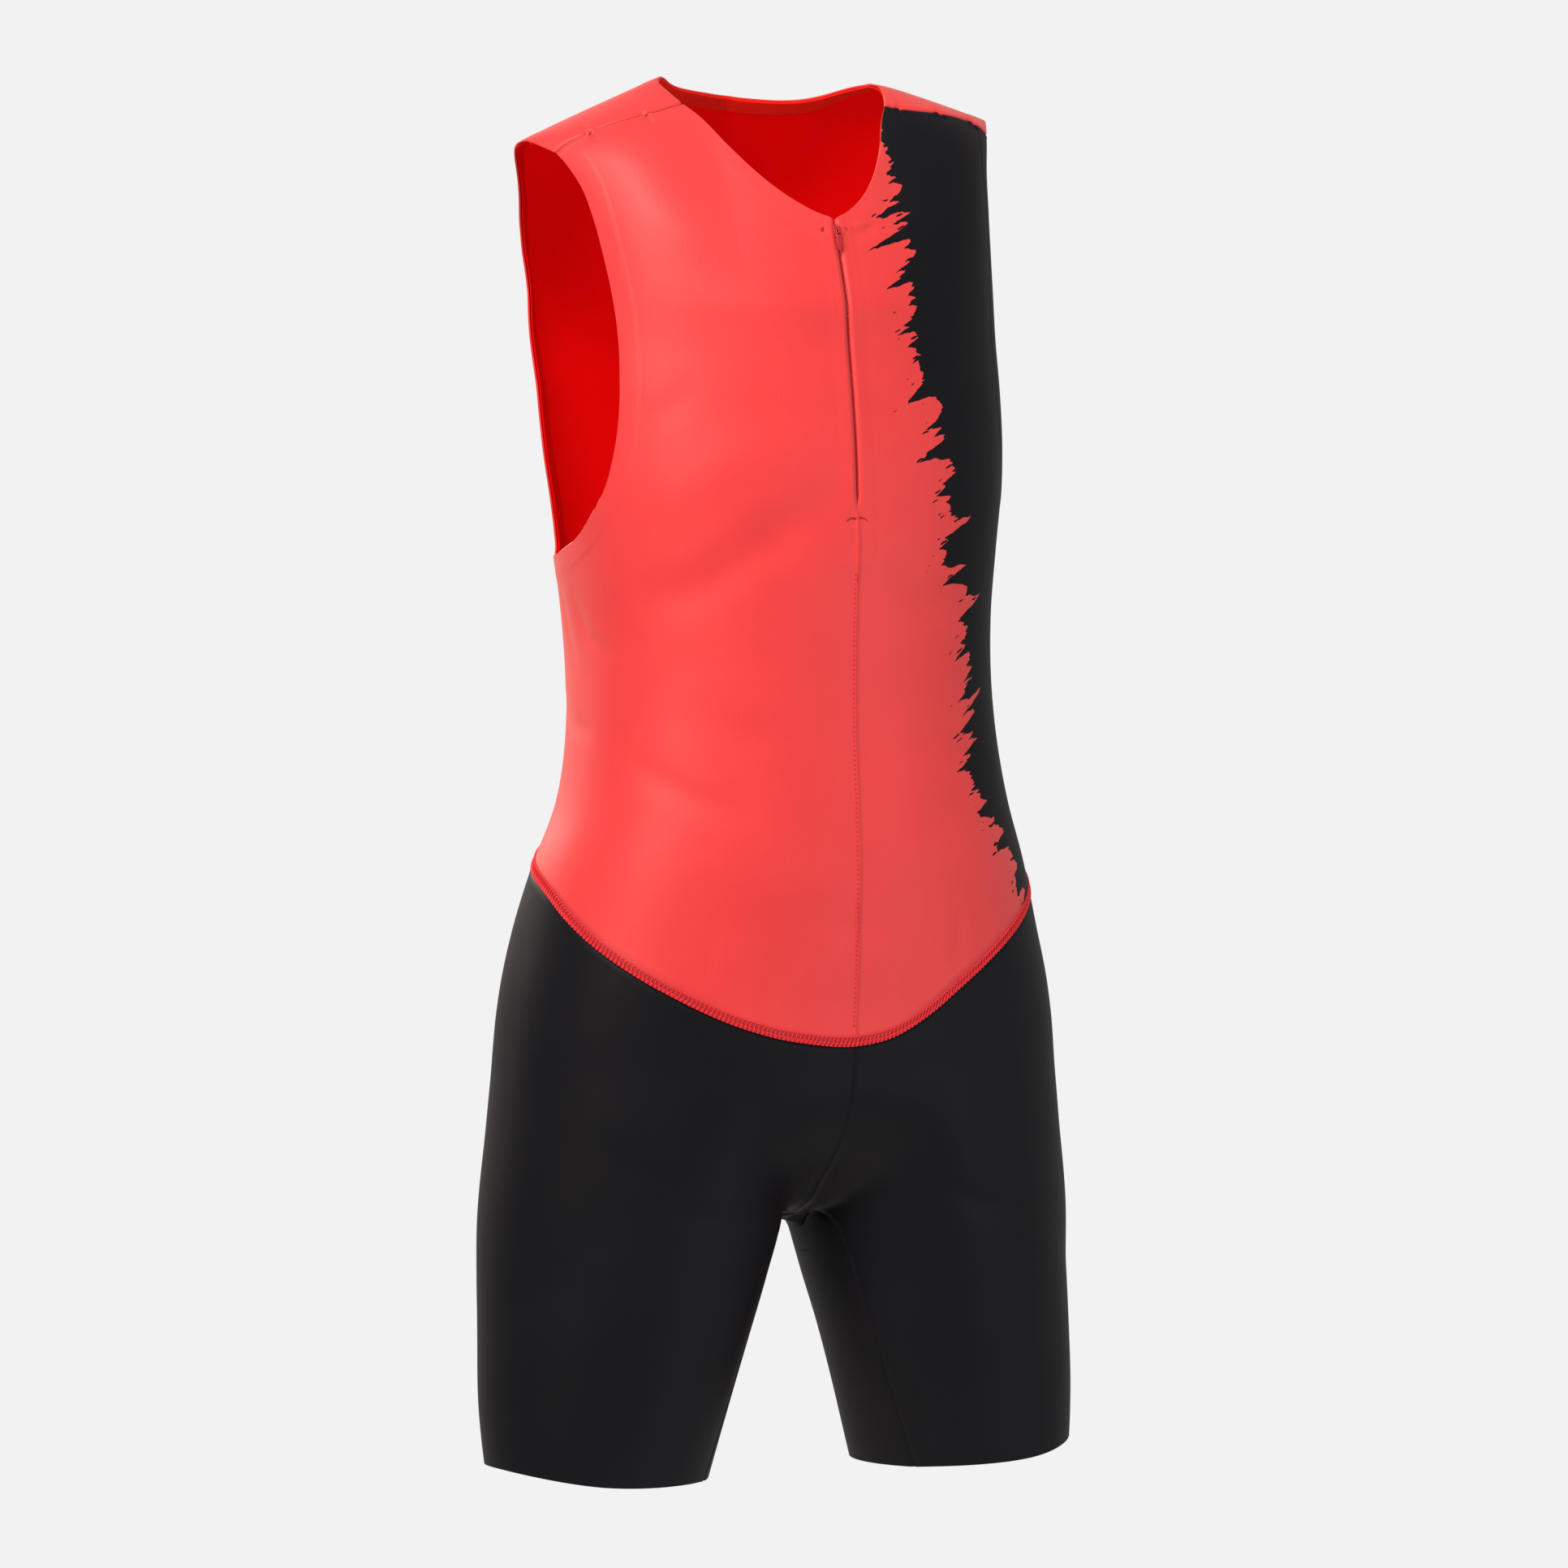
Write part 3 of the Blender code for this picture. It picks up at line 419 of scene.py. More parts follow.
# Curve on the form that keeps the table's heights, all but near its far end
def levelCurve(table, fractions, side):
    wanted = curve(table, fractions, side)
    share = ease((1 - np.asarray(fractions)) / 0.35)
    aim = wanted.copy()
    for _ in range(6):
        miss = np.clip(wanted[:, 2] - onForm(aim)[:, 2], -0.004, 0.004)
        aim[:, 2] += 0.7 * share * miss
    return onForm(aim)


def roundTrunk(angles, heights):
    a = np.radians(np.asarray(angles, float))
    z = np.asarray(heights, float) + 0 * a
    start = np.stack([0 * a, spline(body, 4, z), z], -1)
    return cast(start, np.stack([np.sin(a), -np.cos(a), 0 * a], -1))


def roundLeg(side, angles, heights):
    a = np.radians(np.asarray(angles, float))
    z = np.asarray(heights, float) + 0 * a
    start = np.stack([side * spline(legs, 1, z), spline(legs, 2, z), z], -1)
    return cast(start, np.stack([np.sin(a), -np.cos(a), 0 * a], -1))


def waistPoints(angles):
    return roundTrunk(angles, spline(waist, 1, angles))


def centreLine(heights, back):
    z = np.asarray(heights, float)
    start = np.stack([0 * z, 0.004 + 0 * z, z], -1)
    return cast(start, np.stack([0 * z, (1 if back else -1) + 0 * z, 0 * z], -1))


# The wearer's right shoulder sits a little lower, and the neck sags at the left of the back
def lean(p):
    p = np.array(p, float)
    out = np.maximum(np.abs(p[..., 0]) - form["neckHalf"], 0)
    tilt = np.where(p[..., 0] > 0, form["tiltLeft"], -form["tiltRight"])
    p[..., 2] += tilt * out * ease((p[..., 2] - form["tiltFrom"]) / 0.12)
    off = p[..., 0] - form["neckSagAt"]
    sag = form["neckSag"] * np.exp(-(off / np.where(off > 0, form["neckSagOut"], form["neckSagIn"])) ** 2)
    p[..., 2] -= sag * ease((p[..., 1] + 0.004) / 0.020) * ease((p[..., 2] + 0.09) / 0.06)
    return p


# Even parts of one, with more near the ends that are sewn
def crowd(count, length, atStart, atEnd):
    parts = list(np.linspace(0, 1, count + 1))
    near = [d / length for d in cloth["nearSeam"]]
    parts += near if atStart else []
    parts += [1 - d for d in near] if atEnd else []
    return np.array(sorted(parts))


def stack3(first, second, third):
    return np.concatenate([first, second[1:], third[1:]])


# Grid between four edges at the given parts across and up
def patch(low, high, left, right, across, up):
    u = across[None, :, None]
    v = up[:, None, None]
    grid = (1 - v) * low[None] + v * high[None] + (1 - u) * left[:, None] + u * right[:, None]
    grid = grid - (1 - u) * (1 - v) * low[0] - u * (1 - v) * low[-1]
    grid = grid - (1 - u) * v * high[0] - u * v * high[-1]
    grid[1:-1, 1:-1] = onForm(grid[1:-1, 1:-1])
    grid[0], grid[-1], grid[:, 0], grid[:, -1] = low, high, left, right
    return grid


# Parts of the height in three stretches: side seam, lower armhole, and armhole to shoulder
def upParts():
    k = cloth["fine"]
    total = cloth["lowRows"] + cloth["midRows"] + cloth["topRows"]
    low = crowd(cloth["lowRows"] * k, spans["low"], True, False)
    mid = crowd(cloth["midRows"] * k, spans["mid"], False, False)
    top = crowd(cloth["topRows"] * k, spans["top"], False, True)
    a, b = cloth["lowRows"] / total, (cloth["lowRows"] + cloth["midRows"]) / total
    return low, mid, top, stack3(low * a, a + mid * (b - a), b + top * (1 - b))


def sideSeam(side, parts):
    low = spline(waist, 1, cloth["sideAngle"] * side)
    end = armFront[0]
    last = math.degrees(math.atan2(end[0], float(spline(body, 4, end[2])) - end[1]))
    heights = low + (end[2] - low) * parts
    return roundTrunk((cloth["sideAngle"] + (last - cloth["sideAngle"]) * parts) * side, heights)


def halfPanel(side, back):
    lowRows, midRows, topRows, up = upParts()
    cols = cloth["backCols"] if back else cloth["frontCols"]
    across = crowd(cols * cloth["fine"], spans["half"], not back, True)
    if back:  # split is the arm row where the top stretch starts, and level the middle's height at the arm's foot
        angles = 180 - across * (180 - cloth["sideAngle"])
        neck, arm, split, level = neckBack, armBack, 9, -0.30
    else:
        angles = across * cloth["sideAngle"]
        neck, arm, split, level = neckFront, armFront, 11, -0.345
    low = waistPoints(angles * side)
    high = onForm(curve(shoulderSeam, across, side))
    neckEdge = levelCurve(neck, topRows, side) if back else onForm(curve(neck, topRows, side))
    centre = stack3(
        centreLine(low[0][2] + (level - low[0][2]) * lowRows, back),
        centreLine(level + (neckEdge[0][2] - level) * midRows, back),
        neckEdge,
    )
    edge = stack3(
        sideSeam(side, lowRows),
        onForm(curve(arm[:split + 1], midRows, side)),
        onForm(curve(arm[split:], topRows, side)),
    )
    return patch(low, high, centre, edge, across, up)


def even(points, parts):
    length = np.concatenate([[0], np.cumsum(np.linalg.norm(np.diff(points, axis=0), axis=1))])
    return np.stack([np.interp(parts * length[-1], length, points[:, k]) for k in range(3)], -1)


# Parts of the height of a leg panel above and below the crotch
def legRows():
    k = cloth["fine"]
    return (
        crowd(cloth["legUpRows"] * k, spans["legUp"], True, False),
        crowd(cloth["legLowRows"] * k, spans["legLow"], False, True),
    )


# Front and back edges of a leg panel from waist to hem, and their inner leg parts
def legEdges(side):
    upper, lower = legRows()
    lowFront, lowBack = waistPoints(np.array([0.0, 180.0]))
    tipFront = onForm(np.array([innerFront[0]]))[0]
    tipBack = onForm(np.array([innerBack[0]]))[0]
    front = even(centreLine(np.linspace(lowFront[2], tipFront[2], 400), False), upper)
    back = even(centreLine(np.linspace(lowBack[2], tipBack[2], 400), True), upper)
    inFront = onForm(curve(innerFront, lower, side))
    inBack = onForm(curve(innerBack, lower, side))
    return np.concatenate([front, inFront[1:]]), np.concatenate([back, inBack[1:]]), inFront, inBack


easing = {"rowsUp": 20, "rowsDown": 26, "rounds": 120, "backEvery": 8, "width": 0.35, "height": 0.40}


# Eases the rows between two levels apart, each point toward the middle of its neighbours and back onto the form
def relax(grid, across, up, first, last):
    spanU = np.diff(across) * easing["width"]
    spanV = np.diff(up[first:last + 1]) * easing["height"]
    nearU = (spanU[1:] / (spanU[1:] + spanU[:-1]))[None, :, None]
    nearV = (spanV[1:] / (spanV[1:] + spanV[:-1]))[:, None, None]
    pullU = 1 / (spanU[1:] * spanU[:-1])[None, :, None]
    pullV = 1 / (spanV[1:] * spanV[:-1])[:, None, None]
    for count in range(easing["rounds"]):
        band = grid[first:last + 1]
        level = nearU * band[1:-1, :-2] + (1 - nearU) * band[1:-1, 2:]
        upright = nearV * band[:-2, 1:-1] + (1 - nearV) * band[2:, 1:-1]
        middle = (level * pullU + upright * pullV) / (pullU + pullV)
        if (count + 1) % easing["backEvery"] == 0:
            middle = middle - formNormal(middle) * formDistance(middle)[..., None]
        grid[first + 1:last, 1:-1] = middle
    return grid


def legPanel(side):
    left, right, _, _ = legEdges(side)
    cols = (cloth["frontCols"] + cloth["backCols"]) * cloth["fine"]
    u = crowd(cols, spans["leg"], True, True)
    angles = u * 180.0
    upper, lower = legRows()
    share = cloth["legWaistShare"]
    v = np.concatenate([upper * share, share + lower[1:] * (1 - share)])
    low = spline(waist, 1, angles * side)
    hem = spline(legHem, 1 if side < 0 else 2, u)
    t, uRow = v[:, None], u[None]
    k = ease(t / share)
    level = (1 - t) * low[None] + t * hem[None]
    level = level + ease(1 - uRow / 0.34) * (left[:, 2:] - level[:, :1])
    level = level + ease((uRow - 0.70) / 0.30) * (right[:, 2:] - level[:, -1:])
    out = k * spline(legs, 1, level) * (0.85 + 0.15 * ease((t - share) / 0.15))
    deep = (1 - k) * spline(body, 4, level) + k * spline(legs, 2, level)
    first = np.arctan2(side * left[:, 0] - out[:, 0], deep[:, 0] - left[:, 1])[:, None]
    last = np.arctan2(side * right[:, 0] - out[:, -1], deep[:, -1] - right[:, 1])[:, None]
    last = np.where(last < 1.0, last + 2 * math.pi, last)
    turn = first + (last - first) * uRow
    start = np.stack([side * out, deep, level], -1)
    grid = cast(start, np.stack([side * np.sin(turn), -np.cos(turn), 0 * turn], -1))
    grid[:, 0], grid[:, -1] = left, right
    grid[0] = waistPoints(angles * side)
    crotchRow = len(upper) - 1  # the rows bunch up beside the crotch
    return relax(grid, u, v, crotchRow - easing["rowsUp"], crotchRow + easing["rowsDown"])


# Rows over the crotch from the right hem to the left hem
def innerPanel():
    halves = []
    t = crowd(cloth["innerCols"] * cloth["fine"], spans["inner"], True, True)[None, :, None]
    k = ease(legRows()[1] / 0.35)
    for side in (-1, 1):
        _, _, front, back = legEdges(side)
        level = (front[:, 2] + back[:, 2]) / 2
        deep = 0.004 * (1 - k) + k * spline(legs, 2, level)
        start = np.stack([side * k * spline(legs, 1, level), deep, level + (1 - k) * 0.06], -1)
        a, b = unit(front - start), unit(back - start)
        angle = np.arccos(np.clip(np.sum(a * b, -1), -1, 1))[:, None, None]
        toward = (np.sin((1 - t) * angle) * a[:, None] + np.sin(t * angle) * b[:, None]) / np.sin(angle)
        half = cast(start[:, None] + 0 * toward, toward)
        half[:, 0], half[:, -1] = front, back
        halves.append(half)
    return np.concatenate([halves[0][::-1][:-1], halves[1]])


# Distance of every grid point to a line of points, and how far along the line that is
def nearestOn(points, line):
    flat = points.reshape(-1, 3)
    best = np.full(len(flat), 1e9)
    along = np.zeros(len(flat))
    for k, (a, b) in enumerate(zip(line[:-1], line[1:])):
        ab = b - a
        t = np.clip(((flat - a) @ ab) / max(float(ab @ ab), 1e-12), 0, 1)
        d = np.linalg.norm(flat - a - t[:, None] * ab, axis=1)
        nearer = d < best
        best = np.where(nearer, d, best)
        along = np.where(nearer, (k + t) / (len(line) - 1), along)
    return best.reshape(points.shape[:-1]), along.reshape(points.shape[:-1])


def distanceTo(points, line):
    return nearestOn(points, line)[0]


# Soft trough or ridge along a line, fading toward both its ends
def creaseLift(points, line, depth, width):
    distance, along = nearestOn(points, even(line, np.linspace(0, 1, 25)))
    fade = np.sin(np.pi * np.clip(along, 0, 1)) ** 0.8
    return depth * fade * np.exp(-(distance / width) ** 2)


def hexColour(code):
    parts = [int(code[k:k + 2], 16) / 255 for k in (1, 3, 5)]
    return tuple(c / 12.92 if c <= 0.04045 else ((c + 0.055) / 1.055) ** 2.4 for c in parts) + (1.0,)


# Adds one shader node: plain settings by name, inputs by socket name or number, from a value or another node's output
def addNode(tree, kind, inputs=None, **settings):
    node = tree.nodes.new("ShaderNode" + kind)
    for key, value in settings.items():
        setattr(node, key, value)
    for key, value in (inputs or {}).items():
        if isinstance(value, bpy.types.NodeSocket):
            tree.links.new(value, node.inputs[key])
        else:
            node.inputs[key].default_value = value
    return node


def addObject(name, data):
    thing = bpy.data.objects.new(name, data)
    bpy.context.scene.collection.objects.link(thing)
    return thing


def newMaterial(name):
    material = bpy.data.materials.new(name)
    material.use_nodes = True
    tree = material.node_tree
    tree.nodes.clear()
    return material, tree


def finishMaterial(tree, shader):
    addNode(tree, "OutputMaterial", {"Surface": shader.outputs[0]})


knit = {
    "wales": 0.0015,  # 0.45 mm apart in the real knit; drawn 1.5 mm apart so that they still show a little
    "fuzz": 900.0,
    "drift": 14.0,
    "bumpDeep": 0.0003,
    "ior": 1.5,
    "sheenColour": "#FFC4B8",
}


# Fine polyester and elastane warp knit: matt, with a soft sheen at grazing angles and the faintest rib of wales
def knitMaterial(name, main, deep, seam, rough, gloss, sheen, glow=0.0, ink=None):
    material, tree = newMaterial(name)
    uv = addNode(tree, "UVMap", uv_map="cloth").outputs[0]
    place = addNode(tree, "TexCoord").outputs["Object"]
    wales = addNode(tree, "TexWave", {
        "Vector": uv, "Scale": 1 / knit["wales"] / 20 * math.pi, "Distortion": 0.6, "Detail": 1.0, "Detail Scale": 2.0,
    }, bands_direction="X")
    fuzz = addNode(tree, "TexNoise", {"Vector": place, "Scale": knit["fuzz"], "Detail": 2.0})
    drift = addNode(tree, "TexNoise", {"Vector": place, "Scale": knit["drift"], "Detail": 3.0, "Roughness": 0.55})
    shade = addNode(tree, "MapRange", {"Value": drift.outputs["Fac"], "From Min": 0.3, "From Max": 0.7})
    grain = addNode(tree, "Mix", {
        0: 0.6, 2: wales.outputs["Fac"], 3: fuzz.outputs["Fac"],
    }, data_type="FLOAT").outputs[0]
    tone = addNode(tree, "Math", {0: grain, 1: 0.35, 2: shade.outputs[0]}, operation="MULTIPLY_ADD")
    half = addNode(tree, "Math", {0: tone.outputs[0], 1: 0.74}, operation="MULTIPLY")
    colour = addNode(tree, "Mix", {
        "Factor": half.outputs[0], 6: hexColour(deep), 7: hexColour(main),
    }, data_type="RGBA").outputs[2]
    bump = addNode(tree, "Bump", {"Height": grain, "Strength": 0.10, "Distance": knit["bumpDeep"]})
    inputs = {
        "Roughness": rough, "IOR": knit["ior"], "Specular IOR Level": gloss, "Sheen Weight": sheen,
        "Sheen Roughness": 0.45, "Sheen Tint": hexColour(knit["sheenColour"]), "Normal": bump.outputs[0],
    }
    if glow:  # light that comes through the thin cloth
        inputs.update({
            "Subsurface Weight": glow, "Subsurface Radius": (0.004, 0.0005, 0.0004), "Subsurface Scale": 1.0,
        })
    if ink:  # it fills the cloth, which takes its gloss and sheen
        colour, mask = printMask(tree, colour, ink)
        for key, bare, inked in (("Specular IOR Level", gloss, 0.10), ("Sheen Weight", sheen, 0.02)):
            inputs[key] = addNode(tree, "MapRange", {"Value": mask, "To Min": bare, "To Max": inked}).outputs[0]
    # the dark seam tone: painted shade along the shoulder and middle seams, and a broad darker band under the waist's
    # stitches
    seamShadeAndBand = addNode(tree, "Attribute", attribute_name="seamShadeAndStitchBand").outputs["Fac"]
    inputs["Base Color"] = addNode(tree, "Mix", {
        "Factor": seamShadeAndBand, 6: colour, 7: hexColour(seam),
    }, data_type="RGBA").outputs[2]
    finishMaterial(tree, addNode(tree, "BsdfPrincipled", inputs))
    return material


darkPrint = {
    "ink": "#131317",
    "wobble": 130.0,
    "strokes": (  # pitch, reach, part of the pitch that is stroke, sharpness, shift; minus reach cuts into the ink
        (0.0420, 0.0190, 0.62, 0.8, 0.0),
        (0.0190, 0.0290, 0.27, 1.1, 3.1),
        (0.0078, 0.0130, 0.33, 1.0, 7.7),
        (0.0260, -0.0190, 0.18, 1.2, 5.3),
        (0.0031, 0.0036, 0.45, 0.9, 1.7),
    ),
    "fleckAlong": 210.0,  # flecks to a metre
    "fleckOut": 42.0,
    "fleckSize": 0.16,
    "inkFrom": 0.0122,
    "inkFull": 0.0126,
}


# Dark sublimation print: its edge breaks into slanting strokes of five sizes and loose flecks, all drawn by rule
def printMask(tree, ground, ink):
    edge = addNode(tree, "Attribute", attribute_name="printEdge").outputs["Fac"]
    place = addNode(tree, "TexCoord").outputs["Object"]
    height = addNode(tree, "SeparateXYZ", {0: place}).outputs[2]
    bend = addNode(tree, "TexNoise", {"W": height, "Scale": 9.0, "Detail": 1.0}, noise_dimensions="1D").outputs["Fac"]
    slope = addNode(tree, "MapRange", {
        "Value": bend, "From Min": 0.3, "From Max": 0.7, "To Min": -0.15, "To Max": -0.62,
    }).outputs[0]
    slanted = addNode(tree, "Math", {0: edge, 1: slope, 2: height}, operation="MULTIPLY_ADD").outputs[0]
    wobble = addNode(tree, "TexNoise", {"Vector": place, "Scale": darkPrint["wobble"], "Detail": 3.0}).outputs["Fac"]
    across = addNode(tree, "Math", {0: wobble, 1: 0.0030, 2: slanted}, operation="MULTIPLY_ADD").outputs[0]
    total = addNode(tree, "Math", {0: wobble, 1: 0.0040, 2: edge}, operation="MULTIPLY_ADD").outputs[0]
    for pitch, reach, width, sharp, shift in darkPrint["strokes"]:
        shifted = addNode(tree, "Math", {0: across, 1: shift}, operation="ADD").outputs[0]
        cell = addNode(tree, "TexVoronoi", {
            "W": shifted, "Scale": 1 / pitch, "Randomness": 1.0,
        }, voronoi_dimensions="1D")
        peak = addNode(tree, "MapRange", {
            "Value": cell.outputs["Distance"], "From Min": 0.0, "From Max": width, "To Min": 1.0, "To Max": 0.0,
        })
        spike = addNode(tree, "Math", {0: peak.outputs[0], 1: sharp}, operation="POWER").outputs[0]
        chance = addNode(tree, "SeparateXYZ", {0: cell.outputs["Color"]}).outputs[0]
        rare = addNode(tree, "Math", {0: chance, 1: 1.7}, operation="POWER").outputs[0]
        tall = addNode(tree, "MapRange", {"Value": rare, "To Min": 0.12 * reach, "To Max": reach}).outputs[0]
        total = addNode(tree, "Math", {0: spike, 1: tall, 2: total}, operation="MULTIPLY_ADD").outputs[0]
    flatU = addNode(tree, "Math", {0: across, 1: darkPrint["fleckAlong"]}, operation="MULTIPLY").outputs[0]
    flatV = addNode(tree, "Math", {0: edge, 1: darkPrint["fleckOut"]}, operation="MULTIPLY").outputs[0]
    flat = addNode(tree, "CombineXYZ", {0: flatU, 1: flatV}).outputs[0]
    fleck = addNode(tree, "TexVoronoi", {"Vector": flat, "Scale": 1.0, "Randomness": 0.8}, voronoi_dimensions="2D")
    near = addNode(tree, "MapRange", {
        "Value": total, "From Min": -0.004, "From Max": 0.009, "To Min": 0.0, "To Max": darkPrint["fleckSize"],
    }).outputs[0]
    inFleck = addNode(tree, "Math", {0: fleck.outputs["Distance"], 1: near}, operation="LESS_THAN").outputs[0]
    inBody = addNode(tree, "MapRange", {
        "Value": total, "From Min": darkPrint["inkFrom"], "From Max": darkPrint["inkFull"],
    }).outputs[0]
    mask = addNode(tree, "Math", {0: inBody, 1: inFleck}, operation="MAXIMUM").outputs[0]
    inked = addNode(tree, "Mix", {"Factor": mask, 6: ground, 7: hexColour(ink)}, data_type="RGBA").outputs[2]
    return inked, mask


# Smooth glossy coat: a clear sharp highlight on a deep even red, with the faintest unevenness
def lacquerMaterial(name, colour):
    material, tree = newMaterial(name)
    place = addNode(tree, "TexCoord").outputs["Object"]
    pits = addNode(tree, "TexNoise", {"Vector": place, "Scale": 700.0, "Detail": 2.0}).outputs["Fac"]
    tone = addNode(tree, "Mix", {"Factor": pits, 6: hexColour(colour), 7: hexColour("#D4142A")}, data_type="RGBA")
    bump = addNode(tree, "Bump", {"Height": pits, "Strength": 0.05, "Distance": 0.0002})
    finishMaterial(tree, addNode(tree, "BsdfPrincipled", {
        "Base Color": tone.outputs[2], "Roughness": 0.25, "IOR": 1.5, "Coat Weight": 0.8, "Coat Roughness": 0.10,
        "Normal": bump.outputs[0],
    }))
    return material


# Spun polyester thread: twisted plies give a slight sparkle across its length
def threadMaterial(name, main, deep):
    material, tree = newMaterial(name)
    place = addNode(tree, "TexCoord").outputs["Object"]
    plies = addNode(tree, "TexNoise", {"Vector": place, "Scale": 1400.0, "Detail": 1.0}).outputs["Fac"]
    colour = addNode(tree, "Mix", {"Factor": plies, 6: hexColour(deep), 7: hexColour(main)}, data_type="RGBA")
    finishMaterial(tree, addNode(tree, "BsdfPrincipled", {
        "Base Color": colour.outputs[2], "Roughness": 0.5, "IOR": 1.5, "Sheen Weight": 0.2, "Sheen Roughness": 0.4,
    }))
    return material


# Knits: colour, its deeper tone, the dark tone for painted seam shade and the band under the waist's stitches,
# roughness, gloss, sheen
coral = ("#FA4040", "#F03839", "#94121E", 0.50, 0.46, 0.30)
coralOuter = knitMaterial("coralWarpKnit", *coral)
coralPrinted = knitMaterial("coralWarpKnitPrinted", *coral, ink=darkPrint["ink"])
# the knit's brushed inside: no gloss, and a pure red where daylight comes through
redInside = knitMaterial("redKnitInside", "#FF0606", "#F80206", "#C00010", 0.80, 0.06, 0.0, glow=0.6)
facingKnit = knitMaterial("coralKnitTurnedIn", "#FF2410", "#FB200E", "#C00010", 0.70, 0.20, 0.0, glow=0.4)
# dyed black knit: nearly no gloss, and a thin edge of light on the thighs
blackKnit = knitMaterial("blackWarpKnit", "#141419", "#101014", "#08080A", 0.50, 0.13, 0.02)
blackInside = knitMaterial("blackKnitInside", "#0E0E10", "#0B0B0D", "#080809", 0.75, 0.05, 0.0)
# woven polyester tape: dull, a shade deeper than the knit round it
tapeCloth = knitMaterial("wovenZipTape", "#E00818", "#CC0614", "#900410", 0.7, 0.2, 0.0)
coilNylon = lacquerMaterial("nylonCoil", "#DC0614")  # drawn nylon filament: small bright points on each turn
pullLacquer = lacquerMaterial("redLacquer", "#B00012")  # lacquer over die-cast zinc: one sharp highlight on the tab
redThread = threadMaterial("redThread", "#FF2231", "#EC1C2A")
coralThread = threadMaterial("coralThread", "#DC2F38", "#BE222C")
deepRedThread = threadMaterial("deepRedThread", "#A4000C", "#860008")
print("stage: materials")


# One mesh from grids, each with its flat cut, its distance to the print's edge and its share of the dark seam tone
# (painted seam shade, and the band under the waist's stitches)
def shellMesh(name, sheets, materials):
    points, faces, uvs, prints, seamShadeAndBand = [], [], [], [], []
    for grid, uv, edge, seam in sheets:
        rows, cols = grid.shape[:2]
        first = len(points)
        middle = (grid[1:, 1:] + grid[:-1, :-1]) / 2
        cross = np.cross(grid[:-1, 1:] - grid[:-1, :-1], grid[1:, :-1] - grid[:-1, :-1])
        turned = float(np.sum(cross * formNormal(middle))) < 0
        index = np.arange(rows * cols).reshape(rows, cols) + first
        quads = np.stack([index[:-1, :-1], index[:-1, 1:], index[1:, 1:], index[1:, :-1]], -1).reshape(-1, 4)
        faces += (quads[:, ::-1] if turned else quads).tolist()
        points += grid.reshape(-1, 3).tolist()
        uvs.append(uv.reshape(-1, 2))
        prints.append(np.zeros(rows * cols) - 1 if edge is None else edge.reshape(-1))
        seamShadeAndBand.append(np.zeros(rows * cols) if seam is None else seam.reshape(-1))
    mesh = bpy.data.meshes.new(name)
    mesh.from_pydata(points, [], faces)
    layer = mesh.uv_layers.new(name="cloth")
    corner = np.zeros(len(mesh.loops), int)
    mesh.loops.foreach_get("vertex_index", corner)
    layer.data.foreach_set("uv", np.concatenate(uvs)[corner].astype(np.float32).ravel())
    for key, values in (("printEdge", prints), ("seamShadeAndStitchBand", seamShadeAndBand)):
        layer = mesh.attributes.new(key, "FLOAT", "POINT")
        layer.data.foreach_set("value", np.concatenate(values).astype(np.float32))
    for material in materials:
        mesh.materials.append(material)
    work = bmesh.new()
    work.from_mesh(mesh)
    bmesh.ops.remove_doubles(work, verts=work.verts, dist=cloth["joinWithin"])
    for face in work.faces:
        face.smooth = True
    work.to_mesh(mesh)
    work.free()
    return mesh


def addPiece(name, mesh, bodyName, replaced=()):
    piece = addObject(name, mesh)
    if replaced:
        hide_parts(*replaced)
    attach(piece, bodyName)
    return piece


def clothShell(name, sheets, materials, replaced, thick):
    mesh = shellMesh(name, sheets, materials)
    piece = addPiece(name, mesh, "garment", replaced)
    wall = piece.modifiers.new("wall", "SOLIDIFY")
    wall.thickness = thick
    wall.offset = 0
    wall.material_offset = 1
    wall.material_offset_rim = 0
    return piece


# Place of every grid point on the flat cloth
def cutPlane(grid, firstAcross):
    du = np.linalg.norm(np.diff(grid, axis=1), axis=-1)
    across = np.concatenate([firstAcross[:, None], firstAcross[:, None] + np.cumsum(du, axis=1)], axis=1)
    dv = np.linalg.norm(np.diff(grid, axis=0), axis=-1)
    up = np.concatenate([grid[:1, :, 2], grid[:1, :, 2] + np.cumsum(dv, axis=0)], axis=0)
    return np.stack([across, up], -1)


# Relief of the cloth in metres. A hump is its height, the distance out of its middle, and its width
relief = {
    "trunkSeam": (0.0010, 0.00030),  # depth of the roll at a seam, height of the ridge beside it
    "legSeam": (0.0006, 0.00018),
    "rollWidth": 0.0011,
    "ridgeAt": 0.0028,
    "ridgeWidth": 0.0012,
    "bandStep": 0.0014,
    "neckBand": 0.00012,
    "armBand": 0.00032,
    "tape": 0.00036,
    "zipLip": (0.0007, 0.0030, 0.0017),
    "zipGroove": (-0.0006, 0.0, 0.0012),
    "middleRidge": (0.00034, 0.0, 0.0011),
    "middleTrough": (-0.00022, 0.0024, 0.0010),
    "markHalf": 0.00045,  # small opening of the middle seam at the tape's end
    "markWidth": 0.0018,
}


def hump(distance, height, at, width):
    return height * np.exp(-((distance - at) / width) ** 2)


# How far a sewn edge rolls in, with a low ridge beside it
def seamRoll(distance, depth, ridge):
    roll = hump(distance, -depth, 0.0, relief["rollWidth"])
    return roll + hump(distance, ridge, relief["ridgeAt"], relief["ridgeWidth"])


# A band of double cloth shows as a low step at its inner edge
def bandLift(distance, width, lift):
    return lift * ease((width - distance) / relief["bandStep"] + 0.5)


